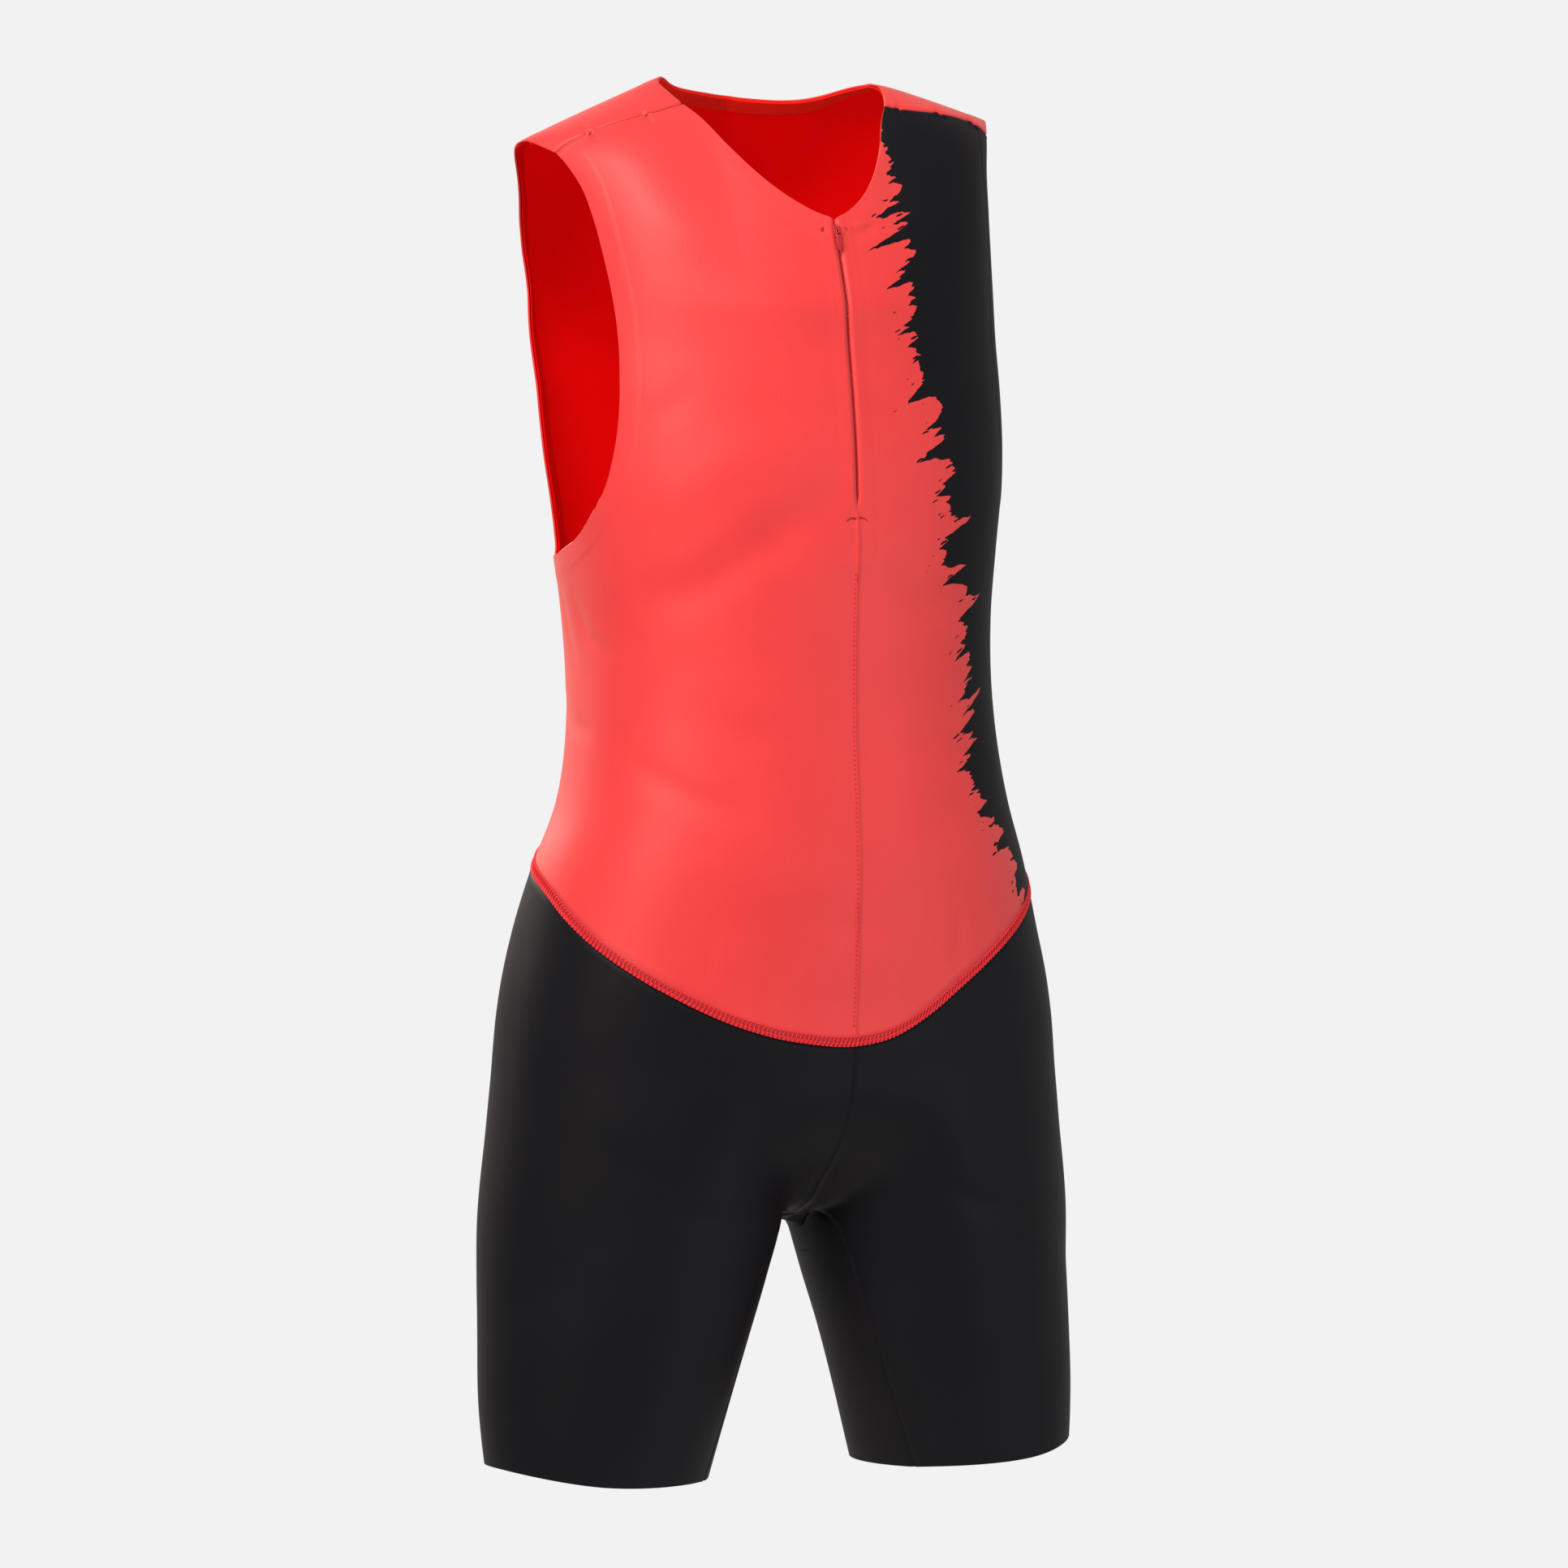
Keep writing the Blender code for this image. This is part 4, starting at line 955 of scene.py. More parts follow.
# Half of the gap between the two fronts: open over the coil, closed in the seam, a touch open at the tape's end
def openingHalf(z):
    closed = cloth["centreHalf"] + hump(z, relief["markHalf"], zipSizes["tapeMark"], relief["markWidth"])
    return closed + (zipSizes["opening"] / 2 - closed) * ease((z - zipSizes["end"]) / 0.012)


# Moves the edge at one end of the rows or columns in by half of the seam's gap
def drawIn(edge, inner):
    edge += unit(inner - edge) * cloth["seamHalf"]


facings = {
    "neckWidth": 0.011,
    "armWidth": 0.0135,
    "thick": 0.0009,
    "under": 0.0004,
    "rows": (0.0003, 0.0012, 0.003, 0.005, 0.007, 0.009, 0.0105, 0.0118, 0.0128, 0.0135),
}
facingDepth = cloth["thick"] + facings["under"] + facings["thick"] / 2
folds = {  # points of a soft trough or ridge (angle, height), its depth and width
    "trunk": [
        ([(-3, -0.262), (-24, -0.284), (-47, -0.318), (-68, -0.331)], -0.0032, 0.016),
        ([(-14, -0.222), (-36, -0.240), (-60, -0.268)], 0.0014, 0.017),
        ([(-72, -0.428), (-52, -0.452), (-33, -0.462)], -0.0014, 0.010),
        ([(-60, -0.395), (-38, -0.413), (-20, -0.409)], -0.0008, 0.013),
        ([(-44, -0.190), (-58, -0.215), (-66, -0.248)], -0.0009, 0.010),
        ([(10, -0.305), (27, -0.331), (45, -0.342)], -0.0011, 0.011),
        ([(22, -0.405), (40, -0.430), (62, -0.437)], -0.0010, 0.010),
        ([(-22, -0.520), (4, -0.536), (21, -0.528)], -0.0008, 0.014),
        ([(-47, -0.572), (-43, -0.547), (-41, -0.520)], -0.0005, 0.0045),
        ([(-21, -0.598), (-20, -0.574), (-17, -0.561)], -0.0004, 0.0040),
        ([(36, -0.566), (34, -0.540), (35, -0.522)], -0.0005, 0.0050),
        ([(-96, -0.322), (-88, -0.352), (-76, -0.366)], -0.0010, 0.006),
        ([(-104, -0.318), (-101, -0.345), (-94, -0.377)], -0.0008, 0.0055),
        ([(97, -0.318), (86, -0.350), (73, -0.362)], -0.0011, 0.0065),
        ([(-112, -0.392), (-98, -0.408), (-84, -0.414)], -0.0010, 0.007),
        ([(110, -0.398), (97, -0.412), (82, -0.418)], -0.0011, 0.007),
        ([(150, -0.400), (165, -0.408), (180, -0.405), (196, -0.400)], -0.0016, 0.007),
        ([(160, -0.432), (176, -0.441), (190, -0.438)], -0.0013, 0.006),
        ([(158, -0.372), (172, -0.378), (188, -0.372)], -0.0011, 0.008),
        ([(138, -0.165), (152, -0.192), (170, -0.205)], -0.0011, 0.010),
        ([(221, -0.150), (208, -0.181), (187, -0.196)], -0.0012, 0.011),
        ([(140, -0.262), (158, -0.285), (176, -0.290)], -0.0010, 0.012),
    ],
    "legs": [  # with the side first
        (-1, [(-101, -0.496), (-96, -0.522), (-94, -0.546), (-97, -0.572)], -0.0022, 0.0038),
        (-1, [(-108, -0.502), (-101, -0.530), (-103, -0.568)], 0.0018, 0.0045),
        (-1, [(20, -0.700), (2, -0.715), (-22, -0.722)], -0.0010, 0.008),
        (-1, [(44, -0.660), (30, -0.684), (8, -0.693)], -0.0008, 0.009),
        (1, [(-22, -0.698), (-2, -0.716), (24, -0.724)], -0.0012, 0.008),
        (1, [(-46, -0.655), (-30, -0.680), (-6, -0.690)], -0.0009, 0.010),
        (-1, [(150, -0.728), (178, -0.742), (205, -0.738)], -0.0014, 0.008),
        (1, [(152, -0.730), (180, -0.745), (204, -0.739)], -0.0014, 0.008),
        (1, [(100, -0.640), (112, -0.668), (120, -0.700)], -0.0009, 0.009),
        (-1, [(-60, -0.800), (-66, -0.826), (-64, -0.852)], -0.0006, 0.012),
        (1, [(30, -0.780), (38, -0.812), (34, -0.842)], -0.0006, 0.012),
    ],
    "pinches": [  # out and height beside the zip top, where the neck's turned edge ends in the seam
        ([(0.0066, -0.0905), (0.0120, -0.0885), (0.0230, -0.0840)], 0.0010, 0.0016),
        ([(0.0085, -0.0950), (0.0170, -0.0925), (0.0280, -0.0850)], -0.0012, 0.0024),
        ([(0.0060, -0.0880), (0.0068, -0.0900), (0.0076, -0.0925)], -0.0009, 0.0010),
        ([(-0.0076, -0.0875), (-0.0082, -0.0900), (-0.0090, -0.0940)], -0.0012, 0.0012),
        ([(-0.0105, -0.0925), (-0.0200, -0.0875), (-0.0330, -0.0790)], -0.0007, 0.0018),
        ([(-0.0080, -0.2740), (0.0, -0.2762), (0.0070, -0.2738)], -0.0007, 0.0016),
        ([(0.0006, -0.2780), (0.0008, -0.2900), (0.0006, -0.3090)], 0.0004, 0.0016),
    ],
    "tucks": [  # out and height along the shoulder seam, its depth: short pleats caught in the seam
        (-0.0985, -0.0018), (-0.1345, -0.0022), (0.0830, -0.0016), (0.1130, -0.0022), (0.1400, -0.0020),
    ],
}


tucks = {"below": 0.009, "above": 0.011, "width": 0.0014, "ridgeAt": -0.0028, "ridge": -0.55}


# Short pleats across the shoulder seam, with a small ridge on the side toward the neck
def tuckLift(grid, seam, side):
    lift = np.zeros(grid.shape[:2])
    outward = 1 if seam[-1, 0] * side > seam[0, 0] * side else -1
    for out, depth in folds["tucks"]:
        if out * side < 0:
            continue
        k = int(np.argmin(np.abs(np.abs(seam[:, 0]) - abs(out))))
        along = unit(seam[min(k + 3, len(seam) - 1)] - seam[max(k - 3, 0)])
        across = unit(np.cross(formNormal(seam[k]), along))
        for shift, size in ((0.0, depth), (tucks["ridgeAt"], tucks["ridge"] * depth)):
            middle = seam[k] + along * shift * outward
            low = middle - across * tucks["below"] + along * 0.002
            high = middle + across * tucks["above"] - along * 0.001
            lift += creaseLift(grid, np.array([low, middle, high]), size, tucks["width"])
    return lift


def trunkFolds(grid):
    lift = np.zeros(grid.shape[:2])
    for stations, depth, width in folds["trunk"]:
        angles, heights = np.array(stations, float).T
        lift += creaseLift(grid, roundTrunk(angles, heights), depth, width)
    for stations, depth, width in folds["pinches"]:
        lift += creaseLift(grid, onFront(stations), depth, width)
    return lift


printLine = (  # height, distance out of the print's edge before its strokes
    (-0.560, 0.180),
    (-0.520, 0.150),
    (-0.498, 0.126),
    (-0.481, 0.112),
    (-0.454, 0.094),
    (-0.413, 0.090),
    (-0.360, 0.087),
    (-0.309, 0.075),
    (-0.258, 0.070),
    (-0.207, 0.060),
    (-0.171, 0.046),
    (-0.135, 0.043),
    (-0.104, 0.046),
    (-0.079, 0.050),
    (-0.053, 0.051),
    (-0.032, 0.050),
    (-0.010, 0.050),
    (0.010, 0.050),
)


def dressPanel(grid, neckLine, armLine, seams, side, isFront):
    normal = formNormal(grid)
    lift = trunkFolds(grid) + tuckLift(grid, grid[-1], side)
    lift += bandLift(distanceTo(grid, neckLine), facings["neckWidth"], relief["neckBand"])
    lift += bandLift(distanceTo(grid, armLine), facings["armWidth"], relief["armBand"])
    for line in seams:
        lift += seamRoll(distanceTo(grid, line), *relief["trunkSeam"])
    if isFront:
        x, z = np.abs(grid[..., 0]), grid[..., 2]
        ahead = grid[..., 1] < 0
        onTape = ease((z - zipSizes["tapeEnd"]) / 0.002) * ahead
        lift += relief["tape"] * ease((zipSizes["tapeWidth"] / 2 - x) / 0.0012 + 0.5) * onTape
        onZip = ease((z - zipSizes["end"]) / 0.004)
        lift += onZip * (hump(x, *relief["zipLip"]) + hump(x, *relief["zipGroove"])) * ahead
        lift += (1 - onZip) * (hump(x, *relief["middleRidge"]) + hump(x, *relief["middleTrough"])) * ahead
    return lean(grid + normal * (lift - cloth["thick"] / 2)[..., None])


# Share of the dark seam tone: painted shade thin along the shoulder seam and faint in the middle seam, and a broad band
# under the waist's stitches
seamShadeAndBandTone = {"shoulderWidth": 0.00075, "waist": 0.72, "waistWidth": 0.0078, "middle": 0.16, "middleWidth": 0.0016}


def seamShadeAndBandShare(grid, onMiddle):
    share = np.exp(-(distanceTo(grid, grid[-1]) / seamShadeAndBandTone["shoulderWidth"]) ** 2)
    underWaist = ease((seamShadeAndBandTone["waistWidth"] - distanceTo(grid, grid[0])) / 0.0020)
    share = np.maximum(share, seamShadeAndBandTone["waist"] * underWaist)
    if onMiddle:
        below = ease((zipSizes["end"] - grid[..., 2]) / 0.004)
        besideMiddle = ease((seamShadeAndBandTone["middleWidth"] - grid[..., 0]) / 0.0008)
        share = np.maximum(share, seamShadeAndBandTone["middle"] * below * besideMiddle)
    return share


edges = {"neck": {}, "arm": {}}
rowsLow = len(upParts()[0]) - 1
rowsMid = rowsLow + len(upParts()[1]) - 1
sheets = {}
for side in (-1, 1):
    for back in (False, True):
        grid = halfPanel(side, back)
        neckLine, armLine = grid[rowsMid:, 0], grid[rowsLow:, -1]
        edges["neck"][side, back] = neckLine.copy()
        edges["arm"][side, back] = armLine.copy()
        uv = cutPlane(grid, np.abs(grid[:, 0, 0]))
        uv[..., 0] *= side
        onPrint = side > 0 and not back
        printEdge = grid[..., 0] - spline(printLine, 1, grid[..., 2]) if onPrint else None
        sideLine = grid[:rowsLow + 1, -1]
        dressed = dressPanel(grid, neckLine, armLine, [grid[0], grid[-1], sideLine], side, not back)
        if not back:
            half = openingHalf(grid[:rowsMid + 1, 0, 2])
            dressed[:rowsMid + 1, 0, 0] = side * half
            for k in (1, 2, 3):  # the next columns stay outside the opening
                out = np.abs(dressed[:rowsMid + 1, k, 0])
                dressed[:rowsMid + 1, k, 0] = side * np.maximum(out, half + 0.0004 * k)
        drawIn(dressed[0], dressed[1])
        drawIn(dressed[-1], dressed[-2])
        drawIn(dressed[:rowsLow + 1, -1], dressed[:rowsLow + 1, -2])
        sheets[side, back] = (dressed, uv, printEdge, seamShadeAndBandShare(grid, onPrint))

for name, node, parts, outer, cut in (
    ("frontRightShell", "front_right", [sheets[-1, False]], coralOuter, "front"),
    ("frontLeftShell", "front_left", [sheets[1, False]], coralPrinted, "front"),
    ("backShell", "back", [sheets[-1, True], sheets[1, True]], coralOuter, "back"),
):
    clothShell(name, parts, [outer, redInside], [node], cloth["thick"])
print("stage: upper panels")

for side, name in wearerSides:
    grid = legPanel(side)
    rowsUp = len(legRows()[0]) - 1
    normal = formNormal(grid)
    lift = np.zeros(grid.shape[:2])
    for foldSide, stations, depth, width in folds["legs"]:
        if foldSide == side:
            angles, heights = np.array(stations, float).T
            lift += creaseLift(grid, roundLeg(side, side * angles, heights), depth, width)
    for line in (grid[0], grid[:, 0], grid[:, -1]):
        lift += seamRoll(distanceTo(grid, line), *relief["legSeam"])
    uv = cutPlane(grid, np.zeros(len(grid)))
    dressed = lean(grid + normal * (lift - cloth["thick"] / 2)[..., None])
    drawIn(dressed[0], dressed[1])
    for end, inner in ((0, 1), (-1, -2)):
        drawIn(dressed[:, end], dressed[:, inner])
        out = np.abs(dressed[:rowsUp + 1, end, 0])
        dressed[:rowsUp + 1, end, 0] = side * np.maximum(out, cloth["seamHalf"])
    clothShell(
        "leg" + name + "Shell", [(dressed, uv, None, None)], [blackKnit, blackInside],
        ["leg_" + name.lower()], cloth["thick"],
    )

grid = innerPanel()
normal = formNormal(grid)
lift = sum(seamRoll(distanceTo(grid, grid[:, end]), *relief["legSeam"]) for end in (0, -1))
dressed = grid + normal * (lift - cloth["thick"] / 2)[..., None]
for end, inner in ((0, 1), (-1, -2)):
    drawIn(dressed[:, end], dressed[:, inner])
uv = cutPlane(grid, np.zeros(len(grid)))
clothShell(
    "innerLegShell", [(dressed, uv, None, None)], [blackKnit, blackInside],
    ["inner_leg_panel"], cloth["thick"],
)
print("stage: legs")


# Thin sheet close under the panels
def underSheet(grid):
    uv = cutPlane(grid, np.zeros(len(grid)))
    return lean(grid - formNormal(grid) * facingDepth), uv, None, None


# Turned band inside an edge: rows set in from the edge line, under the panel
def facingSheet(line, width, awayFrom, closed):
    if closed:
        ring = np.concatenate([line[-1:], line, line[:1]])
        tangent = unit(ring[2:] - ring[:-2])
    else:
        tangent = unit(np.gradient(line, axis=0))
    across = unit(np.cross(formNormal(line), tangent))
    sign = np.sign(np.sum(across * (line - np.array(awayFrom)), axis=-1, keepdims=True))
    steps = [step for step in facings["rows"] if step < width - 0.0004] + [width]
    grid = np.stack([onForm(line + across * sign * w) for w in steps], 1)
    if closed:
        grid = np.concatenate([grid, grid[:1]])
    return underSheet(grid)


def lineLength(line):
    return float(np.sum(np.linalg.norm(np.diff(line, axis=0), axis=1)))


def joinLines(first, second):
    return np.concatenate([first, second[::-1][1:]])


besideZip = zipSizes["tapeWidth"] / 2 + 0.0012
neckParts = {}
for side in (-1, 1):
    line = joinLines(edges["neck"][side, False], edges["neck"][side, True])
    neckParts[side] = line[np.argmax(np.abs(line[:, 0]) > besideZip):]
strip = facingSheet(joinLines(neckParts[-1], neckParts[1]), facings["neckWidth"], (0, 0, 0.03), False)
clothShell(
    "neckFacing", [strip], [facingKnit, facingKnit], ["neck_facing"],
    facings["thick"],
)
for side, name in wearerSides:
    ring = joinLines(edges["arm"][side, False], edges["arm"][side, True])[:-1]
    strip = facingSheet(ring, facings["armWidth"], (side * 0.20, 0.01, -0.17), True)
    clothShell(
        "armFacing" + name, [strip], [redInside, redInside], ["arm_facing_" + name.lower()],
        facings["thick"],
    )
print("stage: facings")

tapeHalf = zipSizes["tapeWidth"] / 2
tapeLevels = np.linspace(zipSizes["top"], zipSizes["tapeEnd"], 90)
tape = np.stack([onFront([(x, z) for x in np.linspace(-tapeHalf, tapeHalf, 15)]) for z in tapeLevels])
clothShell(
    "zipTape", [underSheet(tape)], [tapeCloth, tapeCloth], ["zip_tape"],
    facings["thick"],
)


# Tubes along many short lines, as one mesh
def tubesMesh(name, lines, radius, material, sides=6):
    points, faces = [], []
    ring = np.linspace(0, 2 * math.pi, sides, endpoint=False)[None, :, None]
    normals = formNormal(np.concatenate(lines))
    first = 0
    for line in lines:
        line = np.asarray(line, float)
        count = len(line)
        tangent = unit(np.gradient(line, axis=0))
        normal = normals[first:first + count]
        normal = unit(normal - tangent * np.sum(normal * tangent, axis=-1, keepdims=True))
        side = np.cross(tangent, normal)
        r = np.full((count, 1, 1), radius)
        r[0] = r[-1] = 0.45 * radius
        spokes = normal[:, None] * np.cos(ring) + side[:, None] * np.sin(ring)
        points.append((line[:, None] + spokes * r).reshape(-1, 3))
        index = np.arange(count * sides).reshape(count, sides) + first * sides
        after = np.roll(index, -1, axis=1)
        faces += np.stack([index[:-1], after[:-1], after[1:], index[1:]], -1).reshape(-1, 4).tolist()
        faces += [index[0, ::-1].tolist(), index[-1].tolist()]
        first += count
    mesh = bpy.data.meshes.new(name)
    mesh.from_pydata(np.concatenate(points).tolist(), [], faces)
    mesh.materials.append(material)
    mesh.polygons.foreach_set("use_smooth", [True] * len(mesh.polygons))
    return mesh


def raised(points, lift):
    points = onForm(points)
    return lean(points + formNormal(points) * lift)


# Straight stitches: short threads that dip into the cloth at both ends
def stitchLines(path, pitch, length, lift):
    total = lineLength(path)
    starts = np.arange(int(total / pitch))[:, None] * pitch
    points = even(path, (starts + length * np.linspace(0, 1, 5)).ravel() / total).reshape(-1, 5, 3)
    rise = np.array([-0.0003, 0.6 * lift, lift, 0.6 * lift, -0.0003])[None, :, None]
    return list(lean(points + formNormal(points) * rise))


coverstitch = {
    "pitch": 0.0029,  # 1.6 mm in the real band; drawn 2.9 mm apart so that the ladder still shows
    "bands": (0.0007, 0.0016, 0.0025, 0.0065),  # height of each row of stitches above the seam
    "bandPitch": 0.0030,
    "bandLength": 0.0027,
    "slant": 0.55,  # part of the pitch that a rung leans by
    "thread": 0.00046,
    "lift": 0.0005,
}
waistAngles = np.linspace(-180, 180, 1400)
waistLine = waistPoints(waistAngles)


def aboveWaist(distance):
    return roundTrunk(waistAngles, waistLine[:, 2] + distance)


def threadPiece(name, lines, radius, material):
    addPiece(name, tubesMesh(name, lines, radius, material), "garment")


bands = [aboveWaist(distance) for distance in coverstitch["bands"]]
total = lineLength(waistLine)
pitch = coverstitch["pitch"]
steps = np.arange(int(total / pitch)) * pitch / total
low, high = even(bands[0], steps)[:, None], even(bands[-1], steps + coverstitch["slant"] * pitch / total)[:, None]
ladder = list(raised(low + (high - low) * np.linspace(0, 1, 6)[None, :, None], coverstitch["lift"]))
for band in bands:
    ladder += stitchLines(band, coverstitch["bandPitch"], coverstitch["bandLength"], coverstitch["lift"] + 0.0003)
threadPiece("waistCoverstitch", ladder, coverstitch["thread"], redThread)

seamStitch = {"pitch": 0.0030, "length": 0.0017, "lift": 0.0003, "thread": 0.00030, "beside": 0.0018, "end": -0.600}
frontSeam = centreLine(np.linspace(zipSizes["tapeEnd"], seamStitch["end"], 300), False)
frontSeam[:, 0] = -seamStitch["beside"]
stitches = stitchLines(onForm(frontSeam), seamStitch["pitch"], seamStitch["length"], seamStitch["lift"])
threadPiece("frontSeamStitches", stitches, seamStitch["thread"], coralThread)

tackThread = 0.00042
tacks = (  # out and height along each: short ones beside the zip's top, and an arched one in two halves at its end
    [(-0.0078, -0.0884), (-0.0082, -0.0902), (-0.0086, -0.0922)],
    [(-0.0086, -0.0886), (-0.0090, -0.0903), (-0.0093, -0.0918)],
    [(0.0060, -0.0880), (0.0063, -0.0897), (0.0068, -0.0914)],
    [(0.0068, -0.0882), (0.0071, -0.0897), (0.0075, -0.0910)],
    [(0.0098, -0.0893), (0.0105, -0.0895), (0.0111, -0.0893)],
    [(-0.0068, -0.2786), (-0.0052, -0.2769), (-0.0030, -0.2763), (-0.0008, -0.2769)],
    [(0.0002, -0.2768), (0.0020, -0.2762), (0.0042, -0.2770), (0.0058, -0.2790)],
)
tackLines = [raised(even(onFront(stations), np.linspace(0, 1, 9)), 0.0001) for stations in tacks]
threadPiece("zipTacks", tackLines, tackThread, deepRedThread)

coil = {"pitch": 0.0012, "radius": 0.00062, "out": 0.0011, "reach": 0.0012, "under": 0.0009, "lead": 0.0003}
coilWire = 0.00026
rightWay = np.array([1.0, 0.0, 0.0])
coilLines = []
levels = np.arange(zipSizes["top"] - 0.002, zipSizes["end"] - 0.004, -coil["pitch"])
turns = np.linspace(-0.6, math.pi + 0.6, 7)
seats = centreLine(levels, False)
for seat, out in zip(seats, formNormal(seats)):
    down = np.cross(out, rightWay)
    for side in (-1, 1):
        loop = []
        for turn in turns:
            across = side * (coil["out"] - coil["reach"] * math.sin(turn))
            rise = coil["radius"] * math.cos(turn) - coil["under"]
            loop.append(seat + rightWay * across + out * rise + down * (coil["lead"] * side))
        coilLines.append(lean(np.array(loop)))
addPiece("zipCoil", tubesMesh("zipCoil", coilLines, coilWire, coilNylon, 5), "garment")
print("stage: stitches and coil")

slider = {
    "length": 0.0085,
    "width": 0.0056,
    "bevel": 0.00035,
    "below": 0.0052,  # its middle below the top of the zip
    "gap": 0.00036,
    "thick": 0.0014,
    "axisUp": 0.0010,
    "bridgeUp": 0.0010,
    "bridgeHalf": 0.0006,
    "bridgeBevel": 0.00018,
}
seat = centreLine(np.array([zipSizes["top"] - slider["below"]]), False)[0]
outWay = formNormal(seat[None])[0]
outWay[0] = 0.0
outWay = unit(outWay)
upWay = np.cross(outWay, rightWay)
upWay = upWay if upWay[2] > 0 else -upWay


# Places on the slider, from out, along and lift
def sliderPoint(x, along, lift):
    return tuple(seat + rightWay * x + upWay * along + outWay * lift)


def bridgePoint(along, lift, x):
    return sliderPoint(x, along, lift)


def bevelled(name, points, faces, width):
    mesh = bpy.data.meshes.new(name)
    mesh.from_pydata(points, [], faces)
    work = bmesh.new()
    work.from_mesh(mesh)
    bmesh.ops.recalc_face_normals(work, faces=work.faces)
    sharp = [edge for edge in work.edges if edge.calc_face_angle(0) > 0.5]
    bmesh.ops.bevel(work, geom=sharp, offset=width, segments=3, profile=0.6, affect="EDGES", clamp_overlap=True)
    for face in work.faces:
        face.smooth = True
    work.to_mesh(mesh)
    work.free()
    mesh.materials.append(pullLacquer)
    return mesh


# Solid between two copies of an outline
def prism(outline, levels, place):
    count = len(outline)
    points = [place(u, v, level) for level in levels for u, v in outline]
    faces = [list(range(count)), list(range(2 * count - 1, count - 1, -1))]
    faces += [[k, k + count, (k + 1) % count + count, (k + 1) % count] for k in range(count)]
    return points, faces


baseHigh = slider["gap"] + slider["thick"]
axisLift = baseHigh + slider["axisUp"]
bridgeIn = axisLift + slider["bridgeUp"]
w, h = slider["width"] / 2, slider["length"] / 2
plate = [(-w, h * 0.55), (-w * 0.62, -h), (w * 0.62, -h), (w, h * 0.55), (w * 0.55, h), (-w * 0.55, h)]
base = bevelled("sliderBody", *prism(plate, (slider["gap"], baseHigh), sliderPoint), slider["bevel"])
addPiece("sliderBody", base, "garment", ["zip_slider"])
foot = baseHigh - 0.0003
arch = [
    (-0.0028, foot), (-0.0028, bridgeIn + 0.0002), (-0.0022, bridgeIn + 0.0007), (0.0022, bridgeIn + 0.0007),
    (0.0028, bridgeIn + 0.0002), (0.0028, foot), (0.0019, foot), (0.0019, bridgeIn), (-0.0019, bridgeIn),
    (-0.0019, foot),
]
across = (-slider["bridgeHalf"], slider["bridgeHalf"])
bridge = bevelled("sliderBridge", *prism(arch, across, bridgePoint), slider["bridgeBevel"])
addPiece("sliderBridge", bridge, "garment", ["zip_slider"])

pull = {
    "length": 0.0145,
    "width": 0.0036,
    "thick": 0.0011,
    "bevel": 0.00045,
    "hangs": 0.10,  # slant to the side for each metre down
    "top": 0.0004,  # above the hinge
    "eyeHalf": 0.0011,
    "eyeLow": -0.0034,
    "eyeHigh": -0.0004,
    "spokes": 48,
}
r = pull["width"] / 2
tip = pull["top"] - pull["length"] + r
eyeMid = (pull["eyeLow"] + pull["eyeHigh"]) / 2
outerRing, innerRing = [], []
for a in np.linspace(0, 2 * math.pi, pull["spokes"], endpoint=False) + math.pi / pull["spokes"]:
    dx, dy = math.cos(a), math.sin(a)
    far = (pull["top"] - eyeMid) / dy if dy > 0 else 1.0
    if abs(dx) > 1e-9:
        far = min(far, r / abs(dx))
    if eyeMid + dy * far < tip:  # round end of the tab
        b = 2 * dy * (eyeMid - tip)
        c = (eyeMid - tip) ** 2 - r * r
        far = (-b + math.sqrt(max(b * b - 4 * c, 0))) / 2
    outerRing.append((dx * far, eyeMid + dy * far))
    far = min(pull["eyeHalf"] / max(abs(dx), 1e-9), (pull["eyeHigh"] - eyeMid) / max(abs(dy), 1e-9))
    innerRing.append((dx * far, eyeMid + dy * far))
count = len(outerRing)
points = [
    sliderPoint(x + pull["hangs"] * min(y - eyeMid, 0), y, lift)
    for lift in (axisLift - pull["thick"] / 2, axisLift + pull["thick"] / 2)
    for x, y in outerRing + innerRing
]
faces = []
top = 2 * count
for k in range(count):
    n = (k + 1) % count
    i0, i1 = count + k, count + n
    faces += [[k, n, i1, i0], [k + top, i0 + top, i1 + top, n + top]]
    faces += [[k, k + top, n + top, n], [i0, i1, i1 + top, i0 + top]]
addPiece("pullTab", bevelled("pullTab", points, faces, pull["bevel"]), "pull", ["zip_pull"])
print("stage: zip slider and pull")

camera = {
    "azimuth": -27.0,
    "elevation": 3.3,
    "distance": 6.0,
    "right": 0.0073,
    "height": -0.45,
    "metresPerPixel": 0.00052,
    "imagePixels": 1932,
    "sensor": 36.0,
}
a, e = math.radians(camera["azimuth"]), math.radians(camera["elevation"])
toCamera = Vector((math.sin(a) * math.cos(e), -math.cos(a) * math.cos(e), math.sin(e)))
right = Vector((math.cos(a), math.sin(a), 0))
cameraData = bpy.data.cameras.new("camera")
cameraData.sensor_width = camera["sensor"]
cameraData.lens = camera["sensor"] * camera["distance"] / camera["metresPerPixel"] / camera["imagePixels"]
cameraData.clip_end = 100
cameraObject = addObject("camera", cameraData)
cameraObject.location = Vector((0, 0, camera["height"])) + right * camera["right"] + toCamera * camera["distance"]
cameraObject.rotation_mode = "QUATERNION"
cameraObject.rotation_quaternion = (-toCamera).to_track_quat("-Z", "Y")
bpy.context.scene.camera = cameraObject

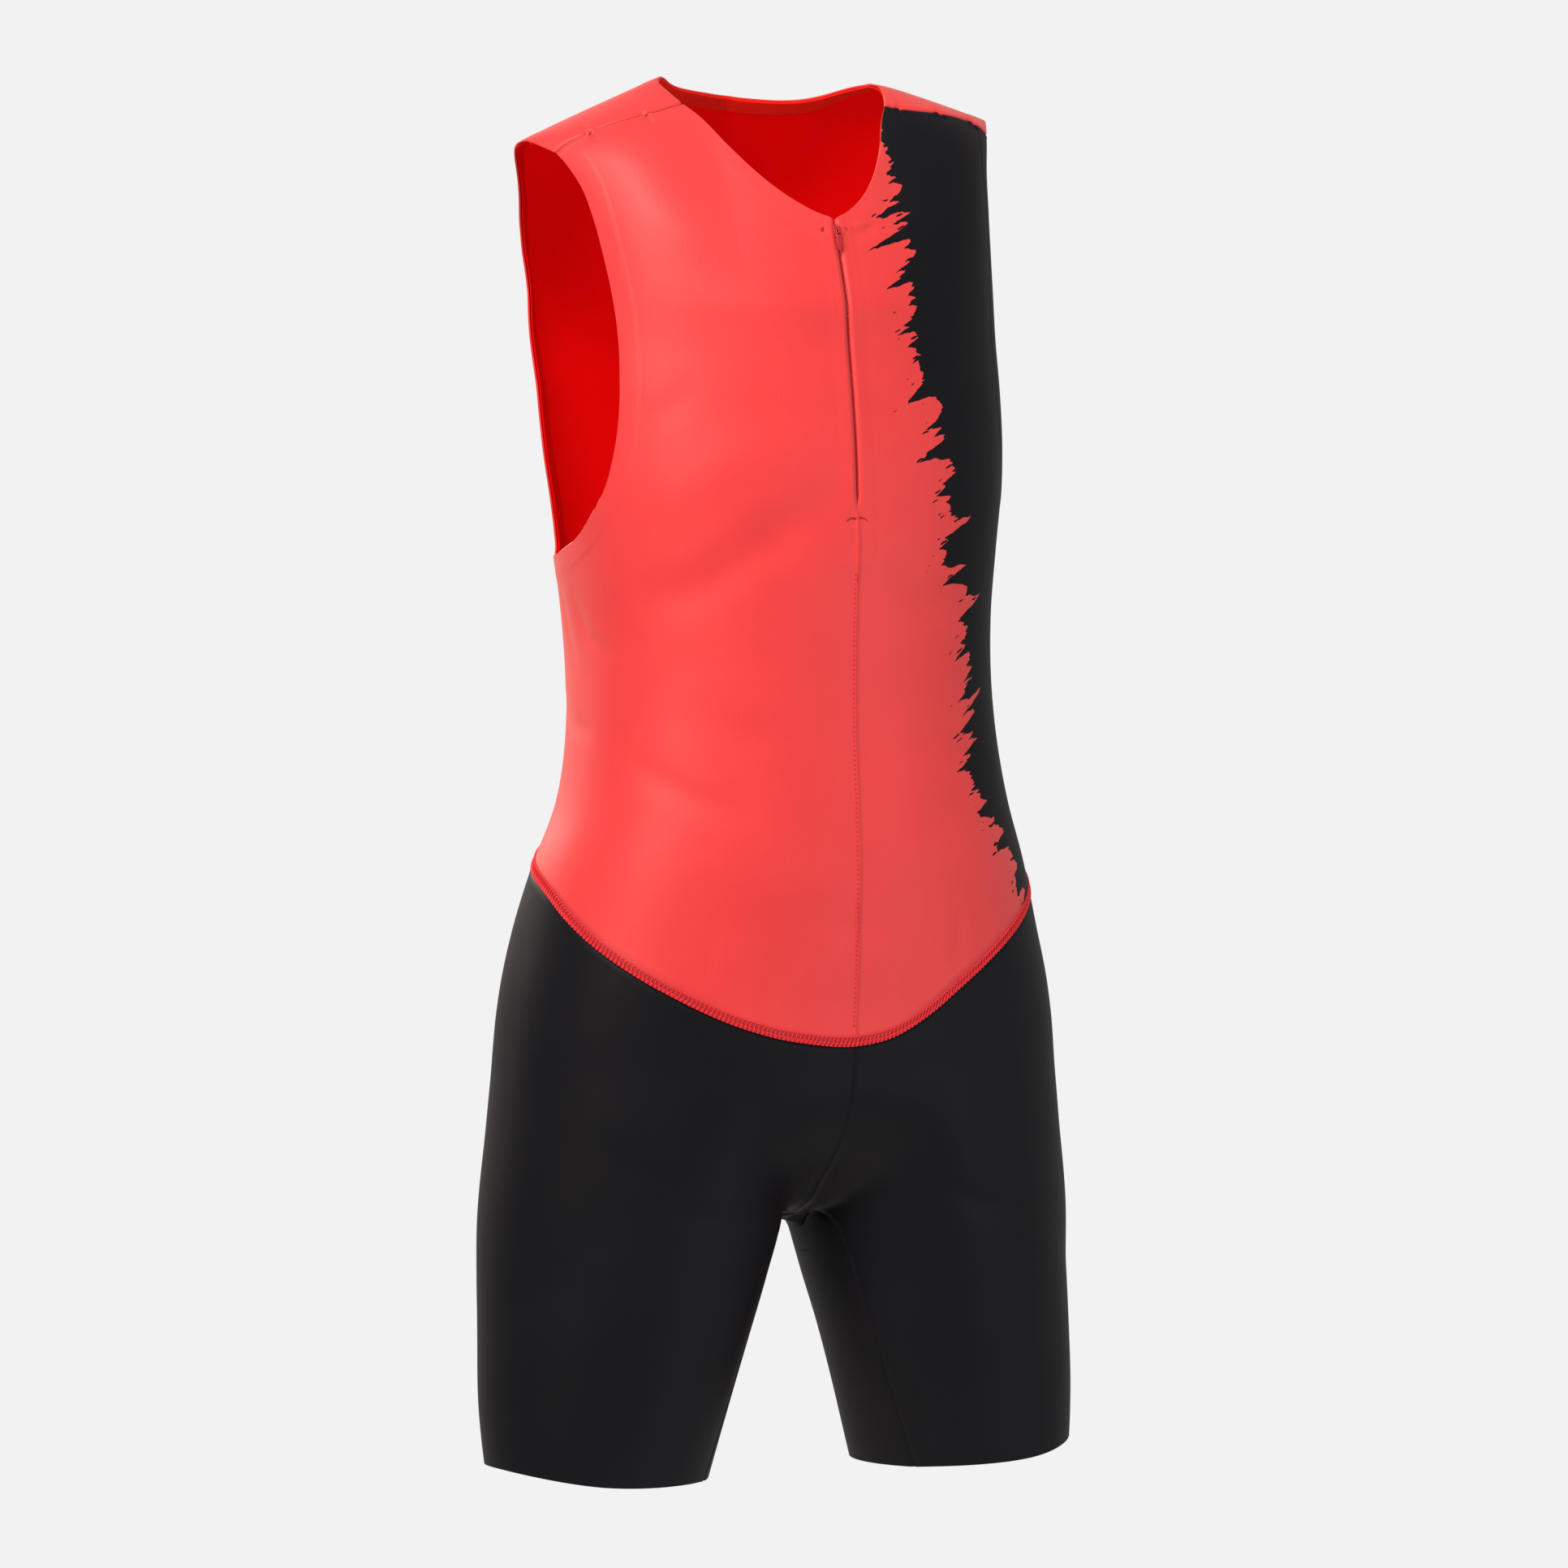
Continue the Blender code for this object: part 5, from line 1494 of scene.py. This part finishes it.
studio = {
    "background": "#F2F2F2",
    "ambient": 0.40,
    "floorColour": "#F4F4F4",
    "floorRadius": 1.05,
    "floorEven": 0.35,  # the floor fades into the background from here to its edge
    "floorHeight": -1.30,
}
world = bpy.data.worlds.new("studio")
bpy.context.scene.world = world
world.use_nodes = True
tree = world.node_tree
tree.nodes.clear()
seen = addNode(tree, "Background", {"Color": hexColour(studio["background"]), "Strength": 1.0})
lit = addNode(tree, "Background", {"Color": (1, 1, 1, 1), "Strength": studio["ambient"]})
path = addNode(tree, "LightPath")
mixed = addNode(tree, "MixShader", {0: path.outputs["Is Camera Ray"], 1: lit.outputs[0], 2: seen.outputs[0]})
addNode(tree, "OutputWorld", {"Surface": mixed.outputs[0]})

softLights = [  # name, place, aimed at, size, watts, colour
    ("key", (-3.0, -1.9, 1.0), (0, 0, -0.40), 1.2, 44.0, "#FFEADA"),
    ("fill", (1.8, -2.8, -0.9), (0, 0, -0.6), 1.6, 14.0, "#F8F8FF"),
    ("top", (-1.2, -1.2, 1.5), (0, 0, -0.10), 0.9, 34.0, "#FFF6F0"),
    ("rim", (-0.7, 2.6, 0.8), (0, 0, -0.3), 1.6, 46.0, "#FFF0E4"),
]
for name, place, target, size, watts, colour in softLights:
    data = bpy.data.lights.new(name, "AREA")
    data.shape = "DISK"
    data.size = size
    data.energy = watts
    data.color = hexColour(colour)[:3]
    lamp = addObject(name, data)
    lamp.location = place
    lamp.rotation_mode = "QUATERNION"
    lamp.rotation_quaternion = (Vector(target) - Vector(place)).to_track_quat("-Z", "Y")

# Matt painted board: a pale even ground with no highlight
floorMaterial, tree = newMaterial("paleFloor")
place = addNode(tree, "TexCoord").outputs["Object"]
far = addNode(tree, "VectorMath", {0: place}, operation="LENGTH").outputs["Value"]
fade = addNode(tree, "MapRange", {
    "Value": far, "From Min": studio["floorEven"], "From Max": studio["floorRadius"] * 0.98,
}, interpolation_type="SMOOTHSTEP").outputs[0]
matt = addNode(tree, "BsdfDiffuse", {"Color": hexColour(studio["floorColour"])})
clear = addNode(tree, "BsdfTransparent")
finishMaterial(tree, addNode(tree, "MixShader", {0: fade, 1: matt.outputs[0], 2: clear.outputs[0]}))
floorMesh = bpy.data.meshes.new("floor")
work = bmesh.new()
bmesh.ops.create_circle(work, cap_ends=True, radius=studio["floorRadius"], segments=96)
work.to_mesh(floorMesh)
work.free()
floorMesh.materials.append(floorMaterial)
floor = addObject("floor", floorMesh)
floor.location = (0, 0, studio["floorHeight"])
print("stage: camera, light and floor")
